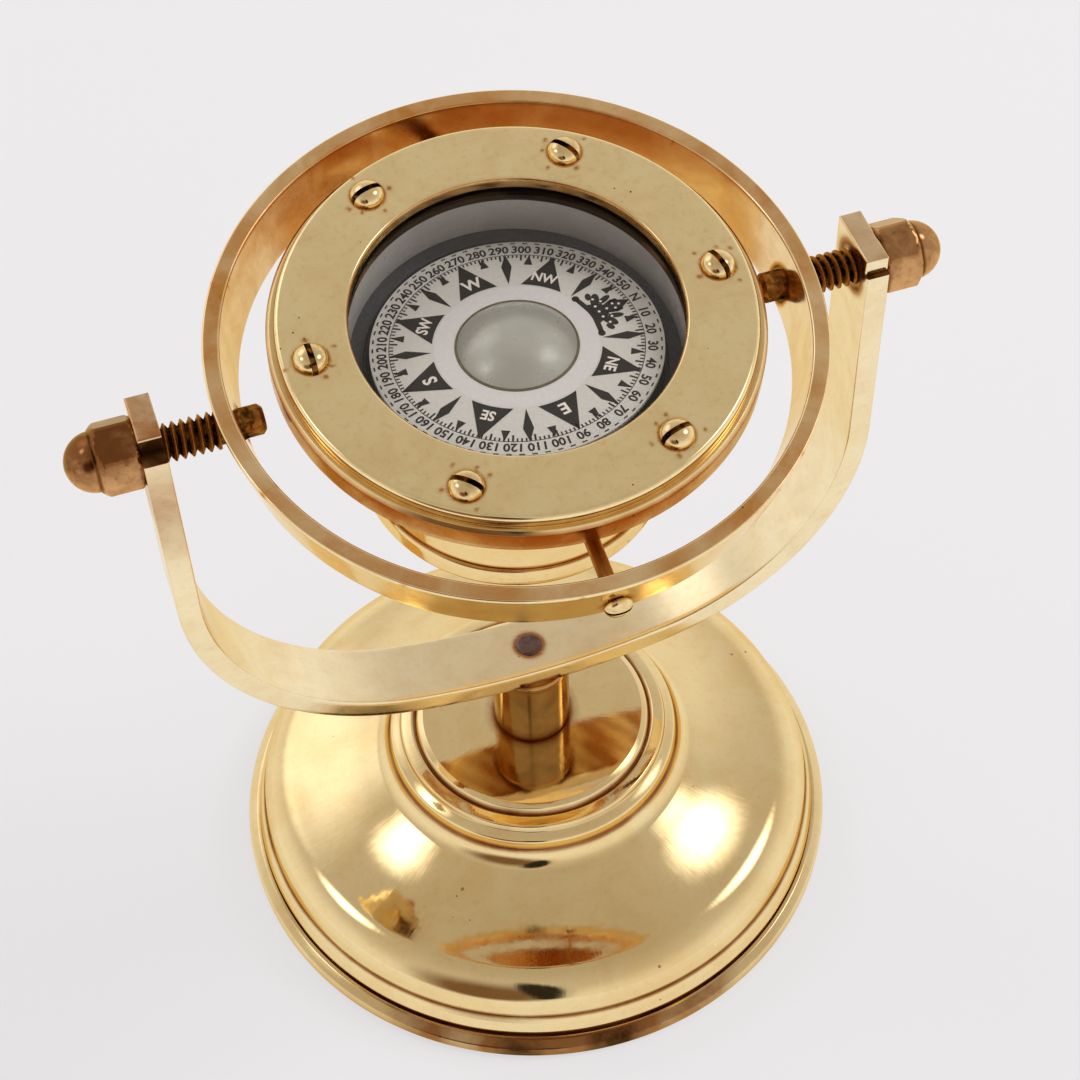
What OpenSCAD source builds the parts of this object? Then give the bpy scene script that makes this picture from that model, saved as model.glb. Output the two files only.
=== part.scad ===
// Gimbal compass on a pedestal: a liquid filled compass bowl hangs in a ring, and the ring hangs
// in a yoke that stands on a weighted round base. Sizes are in millimetres. The base stands on
// z = 0, the ring's trunnion axis runs along X, and the front of the compass faces -Y.

/* [Base] */
// radius of the foot
base_r = 58; // [56:0.5:62]
// height of the foot's straight side
foot_h = 2.2; // [1.8:0.1:2.4]
// height of the flat top that carries the stem
plinth_h = 30.3; // [29:0.1:34]
// wall of the hollow base
base_wall = 2; // [1.6:0.1:2.2]
// height at which the cone of the bell turns flatter
bell_bend_z = 17.4; // [17:0.1:18.2]
// height at which the bell rolls over to its edge
bell_brim_z = 15.3; // [14.8:0.1:16]

/* [Stem and yoke] */
// radius of the stem
stem_r = 7.3; // [6:0.1:8]
// radius of the tie rod that holds base, stem and yoke together
rod_r = 2.38; // [2:0.02:2.5]
// height of the lowest point of the yoke
yoke_z = 47.5; // [45:0.5:50]
// outer half width of the yoke
yoke_x = 62; // [61:0.5:64]
// width of the yoke strap
strap_w = 12.7; // [11:0.1:16]
// thickness of the yoke strap
strap_t = 4; // [3:0.1:4.5]
// outer radius of the yoke's corners
yoke_corner_r = 47; // [40:1:50]
// outer radius of the yoke's slack bottom
yoke_bottom_r = 120; // [110:1:140]
// height of the trunnion axis above the table
axis_z = 130.8; // [128:0.1:140]
// how far each arm reaches above the trunnion axis
arm_over = 5.6; // [5.2:0.1:8]

/* [Trunnions] */
// outer radius of the studs' thread
stud_r = 3.175; // [3:0.025:3.3]
// pitch of the studs' thread
stud_pitch = 1.27; // [1:0.01:1.3]
// radius of the smooth pivot that runs in the ring
trunnion_r = 2.5; // [2:0.05:2.5]
// distance of the pivots' inner ends from the middle
stub_x = 41.7; // [41.2:0.1:43]
// width of an acorn nut across its flats
acorn_flats = 11; // [10.6:0.1:12]

/* [Gimbal ring] */
// outer radius of the ring's upper edge
ring_r = 49.7; // [49.4:0.1:50.5]
// thickness of the ring
ring_t = 2.9; // [2.4:0.1:3.2]
// height of the ring band
ring_h = 10.6; // [9:0.1:12]
// how much smaller the ring is at its lower edge
ring_lean = 2.4; // [0:0.1:2.6]
// depth of the pivot holes below the upper edge
ring_hole_drop = 6.6; // [5:0.1:7]
// tilt of ring and bowl about the trunnion axis
rest_tilt = 8.4; // [0:0.2:10]

/* [Bowl] */
// radius of the bezel
bezel_r = 38.1; // [37:0.1:38.5]
// radius of the bezel's opening
window_r = 26.5; // [25.5:0.1:26.8]
// thickness of the bezel
bezel_t = 2; // [1.5:0.1:2.2]
// height of the bezel's top above the pivot axes
bezel_top = 10.94; // [10.8:0.02:11.2]
// radius of the flange below the bezel
flange_r = 39.44; // [39:0.02:39.6]
// height of the flange's lower face above the pivot axes
flange_low = 4.28; // [3.8:0.02:4.6]
// outer radius of the card chamber
chamber_r = 30; // [29.6:0.1:30.4]
// outer radius of the lower body
body_r = 25.8; // [25.6:0.1:26.4]
// depth of the body's lower end below the pivot axes
body_low = 24.5; // [23.5:0.1:26]
// number of bezel screws
screw_count = 6; // [3:1:8]
// radius of the circle of bezel screws
screw_circle_r = 33.2; // [33:0.1:34]
// radius of a bezel screw's head
screw_head_r = 2.75; // [2.4:0.05:2.9]
// radius of the bowl's pivot screws
pivot_screw_r = 1.25; // [1:0.05:1.5]

/* [Card] */
// radius of the compass card
card_r = 23.6; // [22:0.1:23.8]
// height of the card's face above the pivot axes
card_z = 2.2; // [2:0.05:2.3]
// height of the pivot pin's point above the pivot axes
tip_z = 3.9; // [3.8:0.02:3.95]
// direction of the card's north point, from +X towards +Y
north_angle = 10; // [-180:5:180]
// radius of the float's dome
dome_r = 9.8; // [9.2:0.1:11]
// height of the float's dome
dome_h = 3.4; // [3:0.1:3.6]

/* [Node] */
// the piece to draw, or all

/* [Hidden] */
$fn = 96;
round_steps = 4;        // points along a softened corner
slip = 0.02;            // radial gap of a fixed round fit
run = 0.05;             // radial gap of a turning fit
over = 1;               // how far a cut reaches past the surface
strap_steps = 16;       // flats along each bend of the yoke

// base
felt_t = 1;
plate_t = 1.2;
plate_r = base_r - 2.2;
ledge_z = felt_t + plate_t;
rim_in_r = base_r - 2;
ledge_in_r = base_r - 4.5;
groove_r = base_r - 2.8;
bead_top_z = 8.2;
bell_edge_r = base_r - 3.9;
bell_roll_z = bell_brim_z - 3.3;
bell_brim_r = bell_edge_r - 3.5;
bell_bend_r = base_r - 18;
bell_foot_z = plinth_h - 8.2;
plinth_foot_r = 27.9;
plinth_foot_z = plinth_h - 5.5;
plinth_flat_r = 21.8;
plinth_step_r = 25.8;
plinth_bead_r = 23.4;
top_under_z = plinth_h - base_wall;
weight_nut_z = 16;
weight_well_r = 14;
weight_out_r = 47;
weight_side_z = 6;
weight_neck_r = 19;
washer_r = 5.5;
washer_t = 1.2;
nut_t = 4;
nut_flats = 8;
rod_low_z = 9;

// yoke
corner_x = yoke_x - yoke_corner_r;
bottom_z = yoke_z + yoke_bottom_r;
corner_z = bottom_z - sqrt(pow(yoke_bottom_r - yoke_corner_r, 2) - pow(corner_x, 2));
join_angle = atan2(corner_z - bottom_z, corner_x);
arm_top = axis_z + arm_over;
arm_in_x = yoke_x - strap_t;
seat_r = stem_r + 0.2;
seat_z = yoke_z + 0.25;
yoke_floor_z = yoke_z + strap_t;
rod_proud = 0.4;
rebate = 3;

// trunnions
ring_top = ring_hole_drop;
ring_low = ring_hole_drop - ring_h;
lean_at_axis = ring_lean * ring_hole_drop / ring_h;
ring_axis_r = ring_r - lean_at_axis;
shoulder_x = ring_axis_r + stud_r * ring_lean / ring_h + 0.2;
thread_turns = floor((arm_in_x - shoulder_x) / stud_pitch);
thread_depth = 0.55;
stud_end_x = yoke_x + 4.5;
acorn_hex_l = 6.8;
acorn_dome_r = 4.9;
acorn_corner_r = acorn_flats / 2 / cos(30);
acorn_twist = -7;

// bowl
bezel_low = bezel_top - bezel_t;
gasket_low = bezel_low - 3.74;
glass_t = 2;
glass_top = bezel_low - 0.44;
glass_low = glass_top - glass_t;
glass_r = 29.9;
glass_seat_r = 30.8;
gasket_in_r = window_r + 0.4;
chamber_in_r = chamber_r - 1.8;
liner_t = 1.15;
liner_low = -2.6;
ledge_low = liner_low - 1;
card_ring_in_r = card_r + 1;
body_in_r = body_r - 1.6;
step_z = -6;
step_low_z = -9;
floor_low = -20;
floor_t = 1.5;
floor_holes = 6;
floor_hole_r = 1.5;
floor_hole_circle_r = 15;
screw_r = 1.5;
screw_len = 3.6;
screw_head_h = 1.9;
screw_slot = 0.8;
bezel_screw_turn = -1.5;
slot_turn = [108, 69, 76, 92, 82, 77, 40, 10];
boss_r = 3.2;
boss_end = 33;
pivot_hole_end = 28.9;
pivot_head_r = 2.25;
pivot_head_h = 1.4;
pivot_head_y = ring_axis_r + pivot_head_r * ring_lean / ring_h + 0.15;
plug_z = -15;
plug_r = 2;
plug_head_r = 2.8;
plug_boss_r = 3.6;
plug_boss_end = body_r + 1.4;
seal_t = 0.6;
cap_r = body_r + 0.7;
cap_top = -body_low - seal_t;
cap_low = cap_top - 5.9;
cap_wall = 1;
spigot_r = body_in_r - 0.1;
spigot_t = 1.6;
diaphragm_t = 0.3;
diaphragm_z = cap_top + 2.8;
wave_h = 0.5;
wave_l = 5;
wave_out_r = 20;
wave_steps = 40;
weight_disc_r = 21;
weight_disc_h = 3.4;

// card
post_foot_r = 3.5;
post_foot_h = 1.2;
post_r = 1.6;
post_top = -2;
pin_r = 0.5;
pin_cone = 1.2;
cup_r = 1.3;
cup_low = 2.9;
cup_top = 4.8;
cup_play = 0.04;
cup_mouth_r = 1;
card_t = 0.7;
neck_r = 8.8;
neck_low = -0.8;
tube_in_r = 3.4;
shell_t = 0.5;
boss_low = 3.4;
magnet_r = 0.9;
magnet_l = 15;
magnet_gap = 5.5;
tip_y = -tip_z * sin(rest_tilt);
tip_h = tip_z * cos(rest_tilt);

// corner points of a turned profile, each one softened over its own distance
function softened(p, d) = [for (i = [0:len(p) - 1])
    let (c = p[i], a = p[(i + len(p) - 1) % len(p)], b = p[(i + 1) % len(p)])
    each d[i] == 0 ? [c] :
        let (u = c + (a - c) / norm(a - c) * d[i], v = c + (b - c) / norm(b - c) * d[i])
        [for (k = [0:round_steps]) let (t = k / round_steps)
            (1 - t) * (1 - t) * u + 2 * t * (1 - t) * c + t * t * v]];

// arc of a circle about [cx, cz]
function arc_points(cx, cz, r, a0, a1, n) = [for (k = [0:n])
    let (a = a0 + (a1 - a0) * k / n) [cx + r * cos(a), cz + r * sin(a)]];

module turned(p, d) { rotate_extrude() polygon(softened(p, d)); }

module ring_of(r_in, r_out, z0, z1) {
    difference() {
        translate([0, 0, z0]) cylinder(r = r_out, h = z1 - z0);
        translate([0, 0, z0 - over]) cylinder(r = r_in, h = z1 - z0 + 2 * over);
    }
}

// places of the tilted bowl and ring, and of the level card on its point
module tilted() { translate([0, 0, axis_z]) rotate([rest_tilt, 0, 0]) children(); }
module on_point() { translate([0, tip_y, axis_z]) rotate([0, 0, north_angle]) children(); }

// lies along +X with its foot at the origin
module along_x() { rotate([0, 90, 0]) children(); }
module along_y() { rotate([-90, 0, 0]) children(); }
module both_x() {
    children();
    mirror([1, 0, 0]) children();
}
module both_y() {
    children();
    mirror([0, 1, 0]) children();
}

// base and stem
module base_shell() {
    w = base_wall;
    foot = [[base_r, 0], [base_r, foot_h], [base_r - 1.6, foot_h + 0.8], [groove_r + 0.5, foot_h + 0.9],
            [groove_r, foot_h + 0.3], [groove_r - 0.3, foot_h + 0.9], [groove_r + 0.4, bead_top_z - 3.6],
            [groove_r - 0.2, bead_top_z - 1.5], [bell_edge_r + 0.3, bead_top_z - 0.1]];
    foot_soft = [0.2, 0.5, 0.3, 0.2, 0, 0.2, 0.9, 0.9, 0];
    bell = [[bell_edge_r, bead_top_z], [bell_edge_r - 0.4, bell_roll_z], [bell_brim_r, bell_brim_z],
            [bell_bend_r, bell_bend_z], [plinth_foot_r + 1.3, bell_foot_z]];
    bell_soft = [0, 1.3, 2.9, 7, 2.3];
    plinth = [[plinth_foot_r + 0.1, plinth_foot_z], [plinth_foot_r - 0.3, plinth_foot_z + 1.9],
              [plinth_step_r, plinth_foot_z + 2.7], [plinth_step_r - 0.3, plinth_foot_z + 3.9],
              [plinth_bead_r, plinth_foot_z + 4.2], [plinth_bead_r - 0.6, plinth_foot_z + 3.9],
              [plinth_flat_r + 0.4, plinth_h - 0.4], [plinth_flat_r - 0.6, plinth_h],
              [rod_r + slip, plinth_h]];
    plinth_soft = [0, 0.7, 0.3, 0.6, 0.4, 0.2, 0.3, 0, 0];
    inside = [[rod_r + slip, top_under_z], [weight_neck_r + 1, top_under_z],
              [plinth_foot_r + 0.1 - 1.25 * w, plinth_foot_z - 0.4 * w],
              [plinth_foot_r + 1.3 - 0.9 * w, bell_foot_z - 0.55 * w],
              [bell_bend_r - 0.3 * w, bell_bend_z - 0.9 * w], [bell_brim_r - 0.5 * w, bell_brim_z - 0.9 * w],
              [bell_edge_r - 0.4 - 0.95 * w, bell_roll_z - 0.4 * w],
              [bell_edge_r - 0.95 * w, bead_top_z - 0.3 * w],
              [ledge_in_r - 0.5, ledge_z + 3.3], [ledge_in_r, ledge_z], [rim_in_r, ledge_z], [rim_in_r, 0]];
    inside_soft = [for (p = inside) 0];
    corners = concat(foot, bell, plinth, inside);
    color("#D9B45A") turned(corners, concat(foot_soft, bell_soft, plinth_soft, inside_soft));
}

module base_weight() {
    color("#4A4A48") turned(
        [[rod_r + slip, top_under_z], [weight_neck_r, top_under_z], [weight_neck_r, top_under_z - 2.3],
         [weight_neck_r + 4, top_under_z - 5.8], [weight_out_r - 9, weight_side_z + 8],
         [weight_out_r, weight_side_z], [weight_out_r, ledge_z], [weight_well_r, ledge_z],
         [weight_well_r, weight_nut_z], [rod_r + slip, weight_nut_z]],
        [0, 0.5, 0.5, 1, 2, 1, 0.3, 0.3, 0.3, 0]);
}

module base_plate() { color("#B79A55") translate([0, 0, felt_t]) cylinder(r = plate_r, h = plate_t); }

module felt_pad() { color("#27402F") cylinder(r = plate_r, h = felt_t); }

module stem() {
    color("#C9A04C") turned(
        [[rod_r + slip, plinth_h], [stem_r, plinth_h], [stem_r, seat_z - 1.6], [stem_r + 0.15, seat_z - 1.2],
         [stem_r + 0.15, seat_z - 0.5], [stem_r - 0.2, seat_z], [rod_r + slip, seat_z]],
        [0, 0.2, 0, 0.1, 0.2, 0.1, 0]);
}

module tie_rod() {
    top = yoke_floor_z + rod_proud;
    color("#5A4A44") turned(
        [[0, rod_low_z], [rod_r - 0.3, rod_low_z], [rod_r, rod_low_z + 0.3], [rod_r, top - 0.3],
         [rod_r - 0.4, top], [0, top + 0.1]],
        [0, 0, 0, 0.1, 0.1, 0]);
}

module rod_washer() {
    color("#8A8A86") ring_of(rod_r + slip, washer_r, weight_nut_z - washer_t, weight_nut_z);
}

module rod_nut() {
    z0 = weight_nut_z - washer_t - nut_t;
    color("#8A8A86") difference() {
        translate([0, 0, z0]) cylinder(r = nut_flats / 2 / cos(30), h = nut_t, $fn = 6);
        translate([0, 0, z0 - over]) cylinder(r = rod_r + slip, h = nut_t + 2 * over);
    }
}

// yoke, one bent strap
function strap_side(t) = concat(
    [[yoke_x - t, arm_top]],
    arc_points(corner_x, corner_z, yoke_corner_r - t, 0, join_angle, strap_steps),
    arc_points(0, bottom_z, yoke_bottom_r - t, join_angle, -180 - join_angle, strap_steps),
    arc_points(-corner_x, corner_z, yoke_corner_r - t, -180 - join_angle, -180, strap_steps),
    [[t - yoke_x, arm_top]]);

module yoke() {
    outer = strap_side(0);
    inner = strap_side(strap_t);
    back = [for (k = [len(inner) - 1:-1:0]) inner[k]];
    color("#CFAE62") difference() {
        rotate([90, 0, 0]) linear_extrude(strap_w, center = true) polygon(concat(outer, back));
        translate([0, 0, yoke_z - over]) cylinder(r = rod_r + slip, h = strap_t + 3 * over);
        translate([0, 0, seat_z - 3]) cylinder(r = seat_r, h = 3);
        translate([-yoke_x - over, 0, axis_z]) along_x() cylinder(r = stud_r + slip, h = 2 * (yoke_x + over));
        both_x() translate([arm_in_x - over, -strap_w / 2 - over, arm_top - rebate])
            cube([strap_t + 2 * over, rebate + over, rebate + over]);
    }
}

// trunnions
module trunnion_stud() {
    thread_end = shoulder_x + thread_turns * stud_pitch;
    teeth = [for (k = [0:thread_turns - 1]) let (x = shoulder_x + k * stud_pitch)
        each [[stud_r - thread_depth, x], [stud_r, x + stud_pitch / 2]]];
    translate([0, 0, axis_z]) along_x() rotate_extrude() polygon(concat(
        [[0, stub_x], [trunnion_r - 0.6, stub_x], [trunnion_r, stub_x + 0.6], [trunnion_r, shoulder_x]],
        teeth,
        [[stud_r - thread_depth, thread_end], [stud_r, thread_end + 0.5], [stud_r, stud_end_x - 0.5],
         [stud_r - 0.5, stud_end_x], [0, stud_end_x]]));
}

module trunnion_stud_right() { color("#5A3B22") trunnion_stud(); }

module trunnion_stud_left() { color("#5A3B22") mirror([1, 0, 0]) trunnion_stud(); }

module acorn_nut() {
    middle = yoke_x + acorn_hex_l - 0.1;
    translate([0, 0, axis_z]) along_x() difference() {
        union() {
            intersection() {
                rotate([0, 0, acorn_twist]) translate([0, 0, yoke_x])
                    cylinder(r = acorn_corner_r, h = acorn_hex_l, $fn = 6);
                turned([[0, yoke_x], [acorn_corner_r - 0.5, yoke_x], [acorn_corner_r + 0.1, yoke_x + 0.5],
                        [acorn_corner_r + 0.1, yoke_x + acorn_hex_l - 0.9],
                        [acorn_dome_r + 0.2, yoke_x + acorn_hex_l], [0, yoke_x + acorn_hex_l]],
                       [0, 0, 0, 0, 0, 0]);
            }
            rotate_extrude() polygon(concat([[0, middle - 2], [acorn_dome_r, middle - 2]],
                                            arc_points(0, middle, acorn_dome_r, 0, 90, 12)));
        }
        translate([0, 0, yoke_x - over]) cylinder(r = stud_r + slip, h = over + 6);
    }
}

module acorn_nuts() { color("#B08A6A") both_x() acorn_nut(); }

// gimbal ring
module gimbal_ring() {
    color("#CBA24E") tilted() difference() {
        turned([[ring_r, ring_top], [ring_r - ring_t, ring_top], [ring_r - ring_t - ring_lean, ring_low],
                [ring_r - ring_lean, ring_low]],
               [1.1, 1.1, 1, 1]);
        translate([-ring_r - over, 0, 0]) along_x() cylinder(r = trunnion_r + run, h = 2 * (ring_r + over));
        along_y() cylinder(r = pivot_screw_r + run, h = 2 * (ring_r + over), center = true);
    }
}

// bowl
module at_screws() {
    for (k = [0:screw_count - 1]) rotate([0, 0, bezel_screw_turn + 360 * k / screw_count])
        translate([screw_circle_r, 0, 0]) rotate([0, 0, slot_turn[k]]) children();
}

module at_floor_holes() {
    for (k = [0:floor_holes - 1]) rotate([0, 0, 360 * k / floor_holes])
        translate([floor_hole_circle_r, 0, 0]) children();
}

module bowl() {
    color("#CBA655") tilted() difference() {
        union() {
            turned([[flange_r - 0.5, bezel_low], [flange_r, bezel_low - 0.5], [flange_r, flange_low],
                    [chamber_r, flange_low], [chamber_r, step_z], [body_r, step_low_z], [body_r, -body_low],
                    [body_in_r, -body_low], [body_in_r, floor_low], [0, floor_low],
                    [0, floor_low + floor_t], [body_in_r, floor_low + floor_t], [body_in_r, ledge_low],
                    [chamber_in_r, ledge_low], [chamber_in_r, gasket_low], [glass_seat_r, gasket_low],
                    [glass_seat_r, bezel_low]],
                   [0, 0, 0.4, 0.3, 1, 1, 0.2, 0, 0, 0, 0, 0.5, 0, 0, 0, 0, 0]);
            both_y() translate([0, chamber_r - 1, 0]) along_y()
                cylinder(r = boss_r, h = boss_end - chamber_r + 1);
            translate([0, body_r - 1, plug_z]) along_y()
                cylinder(r = plug_boss_r, h = plug_boss_end - body_r + 1);
        }
        both_y() translate([0, pivot_hole_end, 0]) along_y() cylinder(r = pivot_screw_r + slip, h = boss_end);
        at_screws() translate([0, 0, bezel_low - screw_len])
            cylinder(r = screw_r + slip, h = screw_len + over);
        at_floor_holes() translate([0, 0, floor_low - over])
            cylinder(r = floor_hole_r, h = floor_t + 2 * over);
        translate([0, body_in_r - over, plug_z]) along_y() cylinder(r = plug_r + slip, h = 6);
    }
}

module bezel() {
    color("#D9BF7C") tilted() difference() {
        turned([[window_r, bezel_low], [bezel_r, bezel_low], [bezel_r, bezel_top], [window_r, bezel_top]],
               [0, 0.5, 0.9, 0.7]);
        at_screws() translate([0, 0, bezel_low - over]) cylinder(r = screw_r + 0.15, h = bezel_t + 2 * over);
    }
}

module bezel_screws() {
    color("#B58E4E") tilted() at_screws() difference() {
        union() {
            translate([0, 0, bezel_low - screw_len + 0.2]) cylinder(r = screw_r, h = bezel_t + screw_len);
            turned([[0, bezel_top], [screw_head_r, bezel_top], [screw_head_r, bezel_top + screw_head_h],
                    [0, bezel_top + screw_head_h]], [0, 0.2, 1.7, 0]);
        }
        translate([-screw_head_r - over, -screw_slot / 2, bezel_top + screw_head_h - 1])
            cube([2 * (screw_head_r + over), screw_slot, 1 + over]);
    }
}

module glass() {
    color("#DCE6E6", 0.35) tilted() translate([0, 0, glass_low]) cylinder(r = glass_r, h = glass_t);
}

module glass_gasket() {
    color("#1C1C1C") tilted() turned(
        [[gasket_in_r, gasket_low], [glass_seat_r, gasket_low],
         [glass_seat_r, bezel_low], [gasket_in_r, bezel_low],
         [gasket_in_r, glass_top], [glass_r, glass_top], [glass_r, glass_low], [gasket_in_r, glass_low]],
        [0, 0, 0, 0, 0, 0, 0, 0]);
}

module liner() {
    color("#B9BAB8") tilted() ring_of(chamber_in_r - liner_t, chamber_in_r - slip, liner_low, gasket_low);
}

module card_ring() {
    color("#4A4B4E") tilted() ring_of(card_ring_in_r, chamber_in_r - slip, ledge_low, liner_low);
}

module bottom_gasket() {
    color("#1C1C1C") tilted() ring_of(spigot_r + slip, body_r - 0.1, cap_top, -body_low);
}

module bowl_bottom() {
    color("#CBA655") tilted() difference() {
        turned([[0, cap_low], [cap_r - 2, cap_low], [cap_r, cap_low + 2], [cap_r, cap_top],
                [spigot_r, cap_top], [spigot_r, diaphragm_z],
                [spigot_r - spigot_t, diaphragm_z], [spigot_r - spigot_t, cap_low + cap_wall],
                [0, cap_low + cap_wall]],
               [0, 0.8, 1.2, 1, 0, 0, 0, 0.5, 0]);
        translate([0, 0, cap_low - over]) cylinder(r = 1, h = cap_wall + 2 * over);
    }
}

module diaphragm() {
    waves = [for (k = [0:wave_steps]) let (r = wave_out_r * k / wave_steps)
        [r, diaphragm_z + wave_h * (1 - cos(360 * r / wave_l)) / 2]];
    back = [for (k = [wave_steps:-1:0]) waves[k] + [0, diaphragm_t]];
    color("#C9A86A") tilted() rotate_extrude() polygon(concat(
        waves, [[spigot_r, diaphragm_z], [spigot_r, diaphragm_z + diaphragm_t]], back));
}

module counterweight() {
    z0 = cap_low + cap_wall;
    color("#6E7074") tilted() ring_of(2, weight_disc_r, z0, z0 + weight_disc_h);
}

module filler_plug() {
    length = plug_boss_end - body_in_r;
    color("#B58E4E") tilted() translate([0, body_in_r, plug_z]) along_y() difference() {
        union() {
            cylinder(r = plug_r, h = length);
            translate([0, 0, length]) cylinder(r = plug_head_r, h = 1.2);
        }
        translate([-plug_head_r - over, -0.3, length + 0.6]) cube([2 * (plug_head_r + over), 0.6, 2]);
    }
}

module pivot_post() {
    z0 = floor_low + floor_t;
    color("#C9A86A") tilted() difference() {
        turned([[0, z0], [post_foot_r, z0], [post_foot_r, z0 + post_foot_h], [post_r, z0 + post_foot_h + 1],
                [post_r, post_top], [0, post_top]], [0, 0.1, 0.2, 0.3, 0.6, 0]);
        translate([0, 0, post_top - 3]) cylinder(r = pin_r + slip, h = 4);
    }
}

module pivot_pin() {
    color("#9A9CA0") tilted() rotate_extrude() polygon(
        [[0, post_top - 3], [pin_r, post_top - 3], [pin_r, tip_z - pin_cone], [0, tip_z]]);
}

module bowl_pivot_screws() {
    color("#6B4A26") tilted() both_y() difference() {
        along_y() union() {
            translate([0, 0, pivot_hole_end + 0.1])
                cylinder(r = pivot_screw_r, h = pivot_head_y - pivot_hole_end);
            turned([[0, pivot_head_y], [pivot_head_r, pivot_head_y],
                    [pivot_head_r, pivot_head_y + pivot_head_h],
                    [0, pivot_head_y + pivot_head_h]], [0, 0.1, 1.2, 0]);
        }
        translate([-3, pivot_head_y + pivot_head_h - 0.6, -0.3]) cube([6, 2, 0.6]);
    }
}

// card, which floats level
module compass_card() { color("#A8AAA9") on_point() ring_of(neck_r + slip, card_r, card_z - card_t, card_z); }

module float_dome() {
    sphere_r = (dome_r * dome_r + dome_h * dome_h) / (2 * dome_h);
    middle = card_z + dome_h - sphere_r;
    outer = arc_points(0, middle, sphere_r, asin((card_z - middle) / sphere_r), 90, 12);
    inner_r = sphere_r - shell_t;
    tube_out_r = tube_in_r + shell_t;
    neck_in_r = neck_r - shell_t;
    inner = arc_points(0, middle, inner_r, acos(tube_out_r / inner_r), acos(neck_in_r / inner_r), 8);
    color("#A9A99F") on_point() rotate_extrude() polygon(concat(
        outer,
        [[0, cup_top], [cup_r + slip, cup_top], [cup_r + slip, boss_low], [tube_in_r, boss_low],
         [tube_in_r, neck_low], [tube_out_r, neck_low]],
        inner,
        [[neck_in_r, neck_low], [neck_r, neck_low], [neck_r, card_z]]));
}

module float_floor() {
    color("#A9A99F") on_point()
        ring_of(tube_in_r + shell_t + slip, neck_r - shell_t - slip, neck_low, neck_low + shell_t);
}

module magnets() {
    color("#5C5F66") on_point() for (s = [-1, 1])
        translate([-magnet_l / 2, s * magnet_gap, neck_low - magnet_r]) along_x()
            cylinder(r = magnet_r, h = magnet_l);
}

module jewel_cup() {
    color("#8E2B33") on_point() rotate_extrude() polygon(
        [[0, tip_h + cup_play], [cup_mouth_r, cup_low], [cup_r, cup_low], [cup_r, cup_top], [0, cup_top]]);
}

base_shell();
base_weight();
base_plate();
felt_pad();
stem();
tie_rod();
rod_washer();
rod_nut();
yoke();
trunnion_stud_left();
trunnion_stud_right();
acorn_nuts();
gimbal_ring();
bowl();
bezel();
bezel_screws();
glass();
glass_gasket();
liner();
card_ring();
bottom_gasket();
bowl_bottom();
diaphragm();
counterweight();
filler_plug();
pivot_post();
pivot_pin();
bowl_pivot_screws();
compass_card();
float_dome();
float_floor();
magnets();
jewel_cup();
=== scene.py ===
# %% [markdown]
# # A gimbal compass in polished brass
#
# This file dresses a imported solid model. The compass has a weighted round base, a short stem, a bent
# yoke, a gimbal ring, and a liquid filled bowl with a floating card. Nearly every part of the real
# object was turned on a lathe, so nearly every shape here is a profile carried round an axis.
# Polished metal shows each facet of a coarse mesh, so the shiny pieces are worked out again as
# smooth surfaces, which take the place of the solids they stand for.

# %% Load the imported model
import math
import bmesh
import bpy
import numpy as np
from mathutils import Matrix


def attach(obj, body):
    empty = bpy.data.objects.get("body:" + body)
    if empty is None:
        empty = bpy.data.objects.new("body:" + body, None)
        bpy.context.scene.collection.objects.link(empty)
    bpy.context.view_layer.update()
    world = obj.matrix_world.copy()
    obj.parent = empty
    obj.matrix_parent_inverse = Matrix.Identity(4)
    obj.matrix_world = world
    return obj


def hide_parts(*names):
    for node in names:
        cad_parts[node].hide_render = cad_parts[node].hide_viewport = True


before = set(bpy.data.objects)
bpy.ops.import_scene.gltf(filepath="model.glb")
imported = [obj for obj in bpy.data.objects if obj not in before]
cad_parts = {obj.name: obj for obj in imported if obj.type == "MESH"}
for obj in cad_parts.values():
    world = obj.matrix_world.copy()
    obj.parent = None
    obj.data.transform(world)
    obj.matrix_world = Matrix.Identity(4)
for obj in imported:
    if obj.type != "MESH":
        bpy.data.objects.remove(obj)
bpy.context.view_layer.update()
print("nodes:", len(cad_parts))

# %% [markdown]
# ## Sizes
#
# Lengths are in millimetres until a mesh is made. The ring and the bowl share one tilted frame
# about the pivots' crossing point, because that is how the compass stands at rest. The card
# floats level, on a point that sits a little above that crossing.

# %% Measured sizes
MM = 0.001
PIVOT = np.array([0.0, 0.0, 130.8])
TILT = math.radians(8.4)
NORTH = math.radians(10.0)
TIP_H = 3.9
ARM_X = 62.0
STRAP_T = 4.0
STRAP_W = 12.7
STUD_R = 3.175
PITCH = 1.4
print("pivots", PIVOT[2], "mm up, arms", 2 * ARM_X, "mm apart outside, strap", STRAP_W, "x", STRAP_T, "mm")

# %% Places of the tilted parts and of the level card


def turn_about_x(angle):
    """Rotation matrix about X by the angle, right-handed."""
    c, s = math.cos(angle), math.sin(angle)
    return np.array([[1, 0, 0], [0, c, -s], [0, s, c]])


def turn_about_z(angle):
    """Rotation matrix about Z by the angle, right-handed."""
    c, s = math.cos(angle), math.sin(angle)
    return np.array([[c, -s, 0], [s, c, 0], [0, 0, 1]])


TILTED = turn_about_x(TILT)
TIP = PIVOT + TILTED @ np.array([0.0, 0.0, TIP_H])


def as_is(points):
    """Leaves points where they are."""
    return points


def in_gimbals(points):
    """Carries points from the bowl's own frame to the rest pose: tilt, then lift to the pivots."""
    return points @ TILTED.T + PIVOT


def on_card(points):
    """Carries points from the card's frame to rest: north towards its bearing, over the pin."""
    return points @ turn_about_z(NORTH).T + np.array([TIP[0], TIP[1], PIVOT[2]])


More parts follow.
